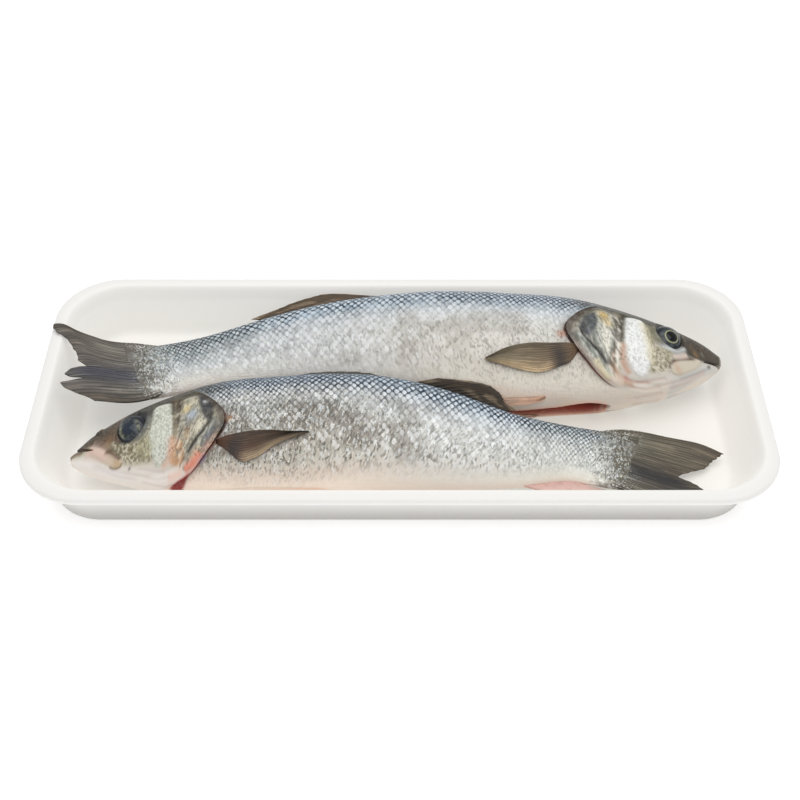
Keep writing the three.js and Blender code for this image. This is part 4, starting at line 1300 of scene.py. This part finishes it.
REAR |= {
    "socket": (150, 156, 158), "smudge": (150, 140, 126), "smudged": 0.35, "blush": (232, 204, 184),
    "nape_tone": (74, 70, 56), "gill": (110, 40, 34), "gill_rim": (150, 96, 80), "line_tone": (206, 166, 156),
    "lobe_tone": (110, 106, 97), "lobe_rim": (100, 95, 85), "lobe_start": -13, "mouth_tone": (66, 44, 38),
    "sores": [((0.29, 95), 2.0, (184, 112, 78), 0.8)],
}
FRONT |= {
    "socket": (112, 116, 118), "smudge": (128, 118, 106), "smudged": 0.6, "blush": (244, 200, 178),
    "nape_tone": (64, 62, 50), "gill": (128, 22, 18), "gill_rim": (196, 92, 74), "line_tone": (214, 200, 202),
    "lobe_tone": (104, 99, 86), "lobe_rim": (84, 80, 69), "lobe_start": -16, "mouth_tone": (176, 150, 128),
    "wound": [(0.218, 145), (0.205, 151), (0.19, 158), (0.178, 168), (0.172, 180), (0.192, 180),
              (0.204, 166)],
    "sores": [((0.292, 92), 2.0, (176, 128, 88), 0.7), ((0.246, 128), 1.0, (120, 118, 160), 0.7),
              ((0.24, 133), 1.0, (120, 118, 160), 0.7)],
}

# %% [markdown]
# ## Numbers for the scale shader
#
# Three numbers per vertex steer the scale pattern: `net` for how dark the scale edges are, `glitter` for how
# much the silver layer sparkles, through a little metal and through painted glints, and `fleck` for small
# dark flecks. They follow the fish: bold edges on the back, bright silver on the flank, and a plain belly.

# %% Scale numbers and the two bodies


def scale_numbers(fish, place):
    """net, glitter and fleck, read from the fish's tables and taken away where there are no scales."""
    t, s, u = place["t"], place["s"], place["u"]
    behind = ramp(COVER_RING, COVER_RING + 0.01, s)

    def along_body(key):
        return between_stations(u, [np.interp(t, *zip(*rows)) for rows in fish[key]])

    end = tail_distance(fish, place)
    fading = 1 - ramp(0, 9, end)
    tail = ramp(-18, -8, end) * fading
    cheek = patch(fish, place["q"], place["h"], CHEEK, 3.0) * (s < COVER_RING)
    bone = patch(fish, place["q"], place["h"], fish["maxilla"], 3.0)
    face = (1 - behind) * ramp(60, 72, t) * ramp(0.1, 0.13, u)
    net = along_body("net") * place["scaly"] * behind * (1 - ramp(-15, -5, end))
    net = net * (0.75 + 0.5 * mottle(place["x"] * 0.45, place["y"] * 0.45, 44))
    net = net + fish["cheek_scales"] * 0.45 * cheek
    glitter = (along_body("silver") + tail) * behind * fading + 0.15 * face * (1 - ramp(120, 136, t))
    glitter = glitter * (1 - ramp(0.0, 0.4, place["cut"]))
    fleck = fish["head_flecks"] * face * (1 - ramp(116, 134, t)) * (1 - bone)
    fleck = (along_body("flecks") * behind * fading + fleck) * (1 - 0.5 * cheek)
    fleck = fleck + 0.7 * tail * behind * (1 - ramp(140, 160, t))
    return {"net": np.clip(net, 0, 1.5), "glitter": np.clip(glitter, 0, 1), "fleck": np.clip(fleck, 0, 1)}


silver = [(0, 0.2), (50, 0.6), (75, 1.0), (115, 0.9), (145, 0.45), (165, 0.1), (180, 0)]
REAR |= {"net": [[(0, 1.4), (50, 1.3), (60, 0.7), (72, 0.3), (90, 0.12), (140, 0)],
                 [(0, 1.4), (46, 1.3), (60, 0.6), (85, 0.3), (105, 0.2), (130, 0.05)],
                 [(0, 1.3), (56, 1.1), (76, 0.6), (95, 0.35), (125, 0.1), (145, 0)]],
         "silver": [[(0, 0.2), (50, 0.6), (70, 0.8), (86, 0.4), (120, 0.3), (150, 0.1), (180, 0)],
                    silver, silver],
         "flecks": [[(0, 0), (60, 0.1), (80, 0.35), (100, 0.6), (125, 0.5), (145, 0.2), (170, 0)],
                    [(0, 0), (70, 0.15), (100, 0.4), (130, 0.35), (148, 0.1), (170, 0)],
                    [(0, 0.1), (60, 0.25), (100, 0.35), (125, 0.2), (145, 0)]], "head_flecks": 0.6}
FRONT |= {"net": [[(0, 1.4), (50, 1.3), (60, 0.8), (72, 0.45), (90, 0.3), (120, 0.15), (135, 0)],
                  [(0, 1.4), (54, 1.25), (66, 0.6), (80, 0.35), (100, 0.22), (120, 0.2), (135, 0)],
                  [(0, 1.3), (58, 1.0), (76, 0.55), (100, 0.4), (125, 0.2), (140, 0)]],
          "silver": [silver, silver, silver],
          "flecks": [[(0, 0.1), (56, 0.4), (70, 0.6), (85, 0.95), (130, 0.95), (144, 0.3), (160, 0)],
                     [(0, 0), (66, 0.1), (80, 0.25), (100, 0.6), (130, 0.85), (144, 0.2), (160, 0)],
                     [(0, 0.1), (60, 0.25), (90, 0.45), (124, 0.5), (138, 0.12), (160, 0)]],
          "head_flecks": 0.8}
bodies = {}
for fish in (REAR, FRONT):
    name = fish["name"]
    points, place = surfaces[name]
    pattern, paint = np.stack([place["x"], place["y"]], -1), painted(fish, place)
    bodies[name] = tube_piece(name + "_skin", points, pattern, scale_numbers(fish, place), paint)

# %% [markdown]
# ## Skin finish
#
# Bass skin is a clear wet film over scales, over a mirror-like silver layer. A plain texture would miss how
# each scale sparkles on its own, so every lozenge gets a random number of its own from its place in the
# lattice. That number makes some scales darker and lights others with a painted sparkle. Dark rims draw
# the net, with painted shade on the front half of each scale where the one before overlaps it. Fine noise
# draws flecks and painted glints, and a thin coat with low roughness gives the wet shine.

# %% Skin finish
skin = Finish("wet scaled skin")
X, Y = skin.pattern_place()
a, b = X + Y, X - Y
f, g = a.fract(), b.fract()
cell = skin.node("ShaderNodeCombineXYZ", values=[a.floor(), b.floor(), 0.0])
chance = skin.node("ShaderNodeTexWhiteNoise", {"noise_dimensions": "3D"}, {"Vector": cell}, output=1)
luck, push, pull = skin.parts(chance)
ROUND = 2.3  # 1 is a lozenge, 2 a circle, more a squarer shape
off_x, off_y = (f * 2 - 1.18 + push * 0.36).size(), (g * 2 - 1.18 + pull * 0.36).size()
across = (off_x**ROUND + off_y**ROUND) ** (1 / ROUND) * (0.9 + (push + pull) * 0.1)
body = skin.body_place()
net, glitter, fleck = skin.number("net"), skin.number("glitter"), skin.number("fleck")
base = skin.number("paint", "Color")

rim = across.between(0.9 - net * 0.28, 1.14 - net * 0.22)
worn = skin.cloud(body, 6, 2).between(0.25, 0.5)
# The head-ward half of each scale is darkened: painted shade where the rim of the scale before lies over it.
overlap_shade = (f + g).between(0.9, 0.3)
edge = net.between(0.0, 0.8) * rim.most(overlap_shade * 0.7) * (0.6 + worn * 0.4)
colour = skin.blend(edge, base, skin.shaded(base, (0.03, 0.05, 0.075)))
dull = luck.between(0.5, 0.0) * (0.2 * glitter + 0.4 * net).least(0.5)
colour = skin.blend(dull, colour, skin.shaded(base, (0.3, 0.32, 0.34)))
# Lucky scales are lit pale: a painted sparkle, as if each scale caught the light on its own.
shine = luck.between(0.5, 0.95) * (1 - rim) * glitter
colour = skin.blend(shine * 0.36, colour, (0.9, 0.93, 0.96))

dashes = skin.node("ShaderNodeCombineXYZ", values=[X + Y * 0.35, Y * 0.62, 0.0])
dashes = {"Vector": dashes, "Scale": 4.4, "Randomness": 1.0}
dashes = skin.node("ShaderNodeTexVoronoi", {"voronoi_dimensions": "2D"}, dashes, output=1)
dash, spark, warm = skin.parts(dashes)
coarse, finer, wet = skin.cloud(body, 5.0, 2, 0.6), skin.cloud(body, 0.7, 1), skin.cloud(body, 14, 2)
dark_flecks = fleck * dash.between(0.45, 0.2) * (0.5 + coarse.between(0.35, 0.6) * 0.5) * (0.5 + finer)
colour = skin.blend(dark_flecks * 0.8, colour, tint(92, 88, 78))
# Glints are painted highlights: tiny pale sparks on the silver, some warm, some cool.
glints = glitter * (fleck * 0.6 + 0.2) * spark.between(0.68, 0.85) * finer.between(0.35, 0.55)
colour = skin.blend(glints * 0.85, colour, skin.blend(warm, (0.76, 0.86, 0.92), (0.93, 0.89, 0.74)))
raised = (f + g) * 0.5 * net + (1 - rim) * (0.4 * glitter + 0.5 * net)
skin.bump(raised + dash * fleck * 0.3 + finer * 0.3 + wet * 1.5, 0.14)
skin.set(Base_Color=colour, Metallic=glitter * (0.08 + shine * 0.25))
skin.set(Roughness=0.36 + wet * 0.14 + dark_flecks * 0.1)
skin.set(Coat_Weight=0.15, Coat_Roughness=0.15, Specular_IOR_Level=0.3)
for fish in (REAR, FRONT):
    finished(bodies[fish["name"]], skin.material, "fish_skin", fish["name"])

# %% [markdown]
# ## Fins
#
# A fin is a thin web of skin held by rays that fork towards its edge. Each one is a sheet p(a, r): a runs
# from ray to ray and r runs out along a ray. The middle surface is worked out first, and then it is moved
# both ways along its normal, a little more where a ray is, so the rays are ribs on the sheet. Between two
# rays the edge is cut back, and each ray also has its own chance length, so the edge is ragged as on a fish
# that has travelled.

# %% Sheet maker
STEPS_PER_RAY = 8
FIN_EDGE = 0.12  # half the thickness along a fin's outline, in millimetres


def fin_grid(fin, steps):
    """The grid of (a, r), and how far out each point reaches: r times 1 at a ray, less by dip between two
    rays, and less by a random tear per ray."""
    rays = fin["count"]
    a, r = np.meshgrid(np.linspace(0, 1, rays * STEPS_PER_RAY + 1), np.linspace(0, 1, steps), indexing="ij")
    torn = np.random.default_rng(fin["seed"]).random(rays + 2)
    per_ray = np.interp(a * rays, np.arange(rays + 2), torn)
    return a, r, r * (1 - fin["dip"] * (0.5 - 0.5 * np.cos(2 * np.pi * a * rays)) - fin["tear"] * per_ray)


def fin_sheet(name, fin, middle, a, r, paint):
    """A closed sheet about a middle surface: half thickness (thick (1 - 0.75 r) + 0.22) / 2, and a rib per
    ray, which forks in two past the middle."""
    normal = np.cross(np.gradient(middle, axis=0), np.gradient(middle, axis=1))
    normal = normal / np.maximum(np.linalg.norm(normal, axis=-1, keepdims=True), 1e-9)
    forks = np.where(r > 0.55, 2, 1)
    rib = 0.16 * (0.5 + 0.5 * np.cos(2 * np.pi * a * fin["count"] * forks)) * (1 - 0.5 * r)
    half = (fin["thick"] * (1 - 0.75 * r) + 0.22) / 2 + rib
    half = np.where((a == 0) | (a == 1) | (r == 1), FIN_EDGE, half)[..., None]
    rings = np.concatenate([middle + normal * half, (middle - normal * half)[:, ::-1]], 1)

    def both(values):
        return np.concatenate([values, values[:, ::-1]], 1)

    numbers = {key: both(0 * r + fin[key]) for key in ("scaly", "rayed")}
    return tube_piece(name, rings, both(np.stack([a * fin["count"], r], -1)), numbers, both(paint), flat=True)


def fin_coat(root, tip, r, *layers):
    """From the root colour to the tip colour, with further (colour, mask) layers over it."""
    colour = brushed(np.zeros((*r.shape, 3)) + np.array(tint(*root)), tip, ramp(0, 1, r))
    for shade, mask in layers:
        colour = brushed(colour, shade, mask)
    return colour


print("fins are sheets with", STEPS_PER_RAY, "mesh steps per ray")

# %% Fin shapes
ROOT_SINK = 1.5
FIN_MARGIN = GAP + 0.9


def upright_fin(fish, fin):
    """Rays stand on the back (+1) or the belly (-1) and fold towards the tail: with length l and fold f they
    rise l cos f, turned by the lean towards the upper side, and run l sin f back."""
    a, r, out = fin_grid(fin, 16)
    u = fin["from"] + (fin["to"] - fin["from"]) * a
    centre, tailward, back, side = axis_frame(fish, u)
    over, under, _ = section_size(fish, u)
    reach = (over if fin["side"] > 0 else under) - ROOT_SINK
    shares = np.linspace(0, 1, len(fin["rays"]))
    ray = fish["length"] * fin["ray"] * smooth(shares, fin["rays"], a) * out + ROOT_SINK * r
    fold, lean = np.radians(fin["fold"]), np.radians(fin["lean"])
    up = ray * np.cos(fold)
    points = centre + back * (fin["side"] * (reach + up * np.cos(lean)))[..., None]
    points = points + side * (up * np.sin(lean))[..., None] + tailward * (ray * np.sin(fold))[..., None]
    return rested(points, FIN_MARGIN), a, r


def flank_fin(fish, fin):
    """A leaf on the flank: at share r along it, the angle runs from the upper edge's to the lower edge's. It
    leaves the skin at its root and then stands off a little."""
    a, r, out = fin_grid(fin, 30)
    u = fin["root"] + (fin["tip"] - fin["root"]) * out
    over, under = smooth(*zip(*fin["over"]), out), smooth(*zip(*fin["under"]), out)
    angle = over + (under - over) * a
    off_skin = (1.7 + fin["lift"] * r) * ramp(0, 0.14, r) - 1.2 + 0.35 * np.sin(7 * a + 3 * r) * r
    points = flank_point(fish, u, angle if fin["side"] > 0 else 360 - angle, off_skin)
    return rested(points, FIN_MARGIN), a, r


def tail_fin(fish, fin):
    """Rays fan from the root's height to the edge's. The outermost rays bow, and their bow fades as |1 - 2a|
    towards the middle. The fin lifts or droops by lift times a ramp along it, with low waves across."""
    a, r, out = fin_grid(fin, 44)
    centre, tailward, back, _ = axis_frame(fish, 1.0)
    level, upright = unit(tailward * [1, 1, 0]), unit(back * [1, 1, 0])
    upper, lower = np.array(fish["tail_upper"], float), np.array(fish["tail_lower"], float)
    root = upper[0, 0]

    def straight(share):
        start = upper[0, 1] + (lower[0, 1] - upper[0, 1]) * share
        return start + (column(fish["tail_edge"], share, 2) - start) * out

    bow_upper = column(upper, root + (upper[-1, 0] - root) * out, 1) - straight(0)
    bow_lower = column(lower, root + (lower[-1, 0] - root) * out, 1) - straight(1)
    bow = np.where(a < 0.5, bow_upper, bow_lower)
    along = root + (column(fish["tail_edge"], a, 1) - root) * out
    points = centre + level * along[..., None] + upright * (straight(a) + bow * np.abs(1 - 2 * a))[..., None]
    points[..., 2] += fish["lift"] * ramp(*LIFT_RUN, along) + 0.8 * np.sin(11 * a + 2 * r) * ramp(0.3, 1, r)
    return rested(points, FIN_MARGIN), a, r


print("fin shapes: upright, flank and tail")

# %% [markdown]
# The first dorsal fin has spines and the other fins have soft rays. All of them are folded back as on a dead
# fish. The pectoral fins are brown-grey with a dark base, the pelvic fins are cream, and the tails are brown
# with a dark blue middle, silver scales at the root and a torn lower lobe on the rear fish.

# %% Fin coats
REAR |= {"fin_root": (62, 50, 38), "fin_tip": (84, 69, 52), "arm_root": (112, 92, 72),
         "arm_tip": (150, 138, 114), "arm_pale": (206, 180, 142), "tail_root": (126, 123, 114),
         "tail_tip": (108, 102, 94), "tail_dark": (70, 72, 84), "anal_tone": (206, 186, 172), "tear": 0.05}
FRONT |= {"fin_root": (38, 33, 28), "fin_tip": (66, 56, 45), "arm_root": (98, 72, 58),
          "arm_tip": (76, 68, 56), "arm_pale": (186, 164, 134), "tail_root": (112, 109, 96),
          "tail_tip": (106, 97, 83), "tail_dark": (40, 42, 48), "anal_tone": (214, 172, 162), "tear": 0.012}


def first_dorsal_coat(fish, a, r):
    return fin_coat((52, 52, 50), (78, 74, 68), r)


def second_dorsal_coat(fish, a, r):
    streak = 0.5 * ramp(0.55, 0.8, mottle(a * 5, r * 9 + 3 * a, 61)) * ramp(0.2, 0.7, r)
    return fin_coat(fish["fin_root"], fish["fin_tip"], r, ((150, 132, 108), streak))


def anal_coat(fish, a, r):
    return fin_coat(fish["anal_tone"], (224, 196, 186), r)


def pelvic_coat(fish, a, r):
    return fin_coat((246, 198, 168), (252, 226, 204), r)


def pectoral_coat(fish, a, r):
    upper = 0.5 * (1 - ramp(0.1, 0.5, a)) * ramp(0.1, 0.3, r)
    pale = 0.75 * ramp(0.5, 0.95, a) * ramp(0.2, 0.35, r) * (1 - 0.5 * ramp(0.8, 1.0, r))
    dark = 0.85 * bell(0.24, 0.08, r + 0.06 * a) * (0.6 + 0.4 * ramp(0.1, 0.5, a))
    layers = ((64, 54, 42), upper), (fish["arm_pale"], pale), ((56, 54, 54), dark)
    return fin_coat(fish["arm_root"], fish["arm_tip"], r, *layers)


def tail_coat(fish, a, r):
    outer = np.abs(1 - 2 * a)
    dark = 0.85 * bell(0.64, 0.2, a) * ramp(0.16, 0.4, r) * (1 - 0.5 * ramp(0.78, 1.0, r))
    rim = ramp(0.8, 0.96, outer) * 0.6 * ramp(0.08, 0.25, r)
    silver_end = r + 0.3 * (mottle(a * 34, r * 3, 8) - 0.5)
    silver = (1 - ramp(0.12, 0.5, silver_end)) * 0.6 * (1 - ramp(0.6, 0.85, outer))
    layers = (fish["tail_dark"], dark), ((76, 66, 54), rim), ((176, 174, 164), silver)
    return fin_coat(fish["tail_root"], fish["tail_tip"], r, *layers)


print("fin coats: dark dorsals, cream pelvics, pink anal fins, brown pectorals and tails")

# %% All fins
UPRIGHT = {"thick": 1.3, "scaly": 0, "rayed": 0.3}
FLANK = {"thick": 1.1, "scaly": 0, "rayed": 1}
FIRST_DORSAL = UPRIGHT | {"side": 1, "from": 0.29, "to": 0.55, "ray": 0.06, "fold": 72, "lean": 0,
                          "rays": [0.4, 0.9, 1, 0.8, 0.4], "count": 9, "dip": 0.05, "tear": 0.06, "seed": 21}
SECOND_DORSAL = UPRIGHT | {"side": 1, "to": 0.775, "count": 12, "dip": 0.015, "tear": 0.03, "seed": 22}
ANAL = UPRIGHT | {"side": -1, "from": 0.795, "to": 0.9, "ray": 0.1, "fold": 80, "lean": -4, "rayed": 0,
                  "rays": [0.9, 1, 1, 0.95, 0.9], "count": 10, "dip": 0.02, "tear": 0.03, "seed": 23}
PECTORAL = FLANK | {"count": 13, "dip": 0.015, "tear": 0.035, "seed": 24}
PELVIC = FLANK | {"root": 0.305, "tip": 0.45, "lift": 0.6, "over": [[0, 160], [0.5, 160], [1, 166]],
                  "under": [[0, 164], [0.5, 172], [1, 170]], "count": 7, "dip": 0.05, "tear": 0.05,
                  "seed": 25}
TAIL = {"thick": 1.5, "scaly": 1, "rayed": 1, "count": 17, "dip": 0.008, "seed": 26}
SIDES = ((1, "upper"), (-1, "lower"))
fins = []
for fish in (REAR, FRONT):
    plans = [("first_dorsal", upright_fin, FIRST_DORSAL, first_dorsal_coat),
             ("second_dorsal", upright_fin, SECOND_DORSAL | fish["second_dorsal"], second_dorsal_coat),
             ("anal", upright_fin, ANAL, anal_coat)]
    for side, word in SIDES:
        arm = PECTORAL | fish["pectoral"] | {"side": side}
        plans += [(word + "_pectoral", flank_fin, arm, pectoral_coat),
                  (word + "_pelvic", flank_fin, PELVIC | {"side": side}, pelvic_coat)]
    plans += [("tail", tail_fin, TAIL | {"tear": fish["tear"]}, tail_coat)]
    for word, shape, fin, coat in plans:
        middle, a, r = shape(fish, fin)
        fins.append(fin_sheet(f"{fish['name']}_{word}", fin, middle, a, r, coat(fish, a, r)))

# %% [markdown]
# ## Fin finish
#
# One finish serves every fin, because the colour comes from the vertices. The pattern map counts the rays, so
# the drawn lines keep step with the mesh ribs: each ray is a fine dark line with a paler web beside it, and
# past a third of its length every ray forks in two, and again near the edge. The web lets some light
# through, so it is a little lighter than the rays.

# %% Fin finish
web = Finish("wet fin rays and web")
ray, out = web.pattern_place()
body = web.body_place()
paint = web.number("paint", "Color")


def comb(count, width):
    """1 on thin lines, count of them per ray."""
    return ((ray * count).fract() * 2 - 1).size().between(1 - width, 1.0)


split, again = out.between(0.3, 0.45), out.between(0.68, 0.8)
rayed = web.number("rayed")
lines = comb(1, 0.4).most(comb(2, 0.45) * split).most(comb(4, 0.45) * again * 0.5) * rayed
streaks = web.node("ShaderNodeCombineXYZ", values=[ray * 1.6, out * 1.2, 0.0])
streaks = web.node("ShaderNodeTexNoise", values={"Vector": streaks, "Scale": 2.2, "Detail": 3.0})
marked = rayed.between(0.0, 0.25)
colour = web.blend(lines * (0.5 + streaks * 0.5), paint, web.shaded(paint, (0.12, 0.12, 0.12)))
colour = web.blend(streaks.between(0.5, 0.66) * marked * 0.7, colour, web.shaded(paint, (1.9, 1.85, 1.8)))
colour = web.blend(streaks.between(0.46, 0.34) * marked * 0.6, colour, web.shaded(paint, (0.4, 0.4, 0.42)))
stain = web.cloud(body, 3, 3).between(0.5, 0.75) * 0.3
colour = web.blend(stain, colour, web.shaded(paint, (0.5, 0.5, 0.52)))
root = 1 - out.between(0.05, 0.5)
beads = (streaks * 0.5 + web.cloud(body, 0.9, 1) * 0.5).between(0.52, 0.6) * root * web.number("scaly")
colour = web.blend(beads, colour, (0.9, 0.9, 0.88))
web.set(Base_Color=colour, Roughness=0.42 + streaks * 0.16)
web.set(Coat_Weight=0.1, Coat_Roughness=0.2, Specular_IOR_Level=0.3)
web.bump(lines * 0.8 + streaks * 0.5, 0.12)
for piece in fins:
    finished(piece, web.material, "fin")

# %% [markdown]
# ## Eyes
#
# A fish eye is a flattened ball with a clear skin over it. The balls replace the solids of the eyes at the
# same places. A number on the vertices gives the distance from the middle, and the finish draws rings with
# it: pupil, thin pale rim and blue-grey iris. The front fish's pupils are cloudy, as they get with age.

# %% Eyes
EYE = {"width": 8.2, "depth": 5.4, "sunk": 3.6}


def eyeball(fish, side):
    """A ball flattened along its outward direction: place + out z + across x + up y, with x, y, z from the
    sphere (w sin p cos q, w sin p sin q, d cos p). A gaze tips it towards the belly. Also (x, y), and the
    distance from the middle of the pupil."""
    at, angle = fish["eye"]
    sign = 1 if side > 0 else -1
    turn = angle if side > 0 else 360 - angle
    place = flank_point(fish, at, turn)
    ahead = flank_point(fish, at - 0.02, turn) - place
    above = flank_point(fish, at, turn - sign * 20) - place
    out = unit(np.cross(ahead, above))
    _, _, back, upper = axis_frame(fish, at)
    out = out if (out @ upper) * sign > 0 else -out
    middle = place - out * EYE["sunk"]
    out = unit(out - back * fish["gaze"])
    across = unit(ahead - out * (ahead @ out))
    up = np.cross(out, across)
    p, q = np.linspace(0.03, np.pi - 0.03, 64), np.linspace(0, 2 * np.pi, 72, endpoint=False)
    p, q = np.meshgrid(p, q, indexing="ij")
    away = EYE["width"] * np.sin(p)
    x, y, z = away * np.cos(q), away * np.sin(q), EYE["depth"] * np.cos(p)
    bulge = 0.35 * bell(0, 3.4, away) * (z > 0)
    points = middle + across * x[..., None] + up * y[..., None] + out * (z + bulge)[..., None]
    return points, np.stack([x, y], -1), away + 20 * (z < -0.5)


REAR |= {"gaze": 0.42, "pupil": 2.8, "clouded": 0.0}
FRONT |= {"gaze": 0.38, "pupil": 3.0, "clouded": 1.0}
eyes = {}
for fish in (REAR, FRONT):
    for side, word in SIDES:
        points, sweep, off = eyeball(fish, side)
        name = f"{fish['name']}_{word}_eye"
        numbers = {"off": off / fish["pupil"], "clouded": 0 * off + fish["clouded"]}
        eyes[name] = tube_piece(name + "_ball", points, sweep, numbers)

eye = Finish("clear wet eye")
off, clouded = eye.number("off"), eye.number("clouded")
sweep_x = eye.pattern_place()[0]
veins = eye.cloud(eye.body_place(), 1.6, 3)
iris = eye.blend(veins.between(0.35, 0.7), tint(44, 48, 52), tint(80, 86, 88))
iris = eye.blend(off.between(1.75, 2.1), iris, tint(36, 40, 46))
rim = off.between(1.08, 1.18) * (1 - off.between(1.26, 1.38))
crescent = off.between(1.2, 1.35) * (1 - off.between(1.6, 1.9))
crescent = crescent * (sweep_x * 0.5 + 0.1).size().between(1.4, 2.4)
ring = rim * (1 - clouded) + crescent * clouded * veins.between(0.35, 0.6) * 0.6
iris = eye.blend(ring.least(1.0) * 0.65, iris, tint(196, 196, 148))
pupil = eye.blend(clouded, tint(8, 9, 12), eye.blend(veins * 0.6, tint(36, 44, 55), tint(56, 67, 80)))
colour = eye.blend(off.between(0.92, 1.04), pupil, iris)
eye.set(Base_Color=colour, Roughness=0.06 + veins * 0.05)
eye.set(Coat_Weight=0.25, Coat_Roughness=0.03, IOR=1.4, Specular_IOR_Level=0.3)
for name, piece in eyes.items():
    finished(piece, eye.material, "eye", name)
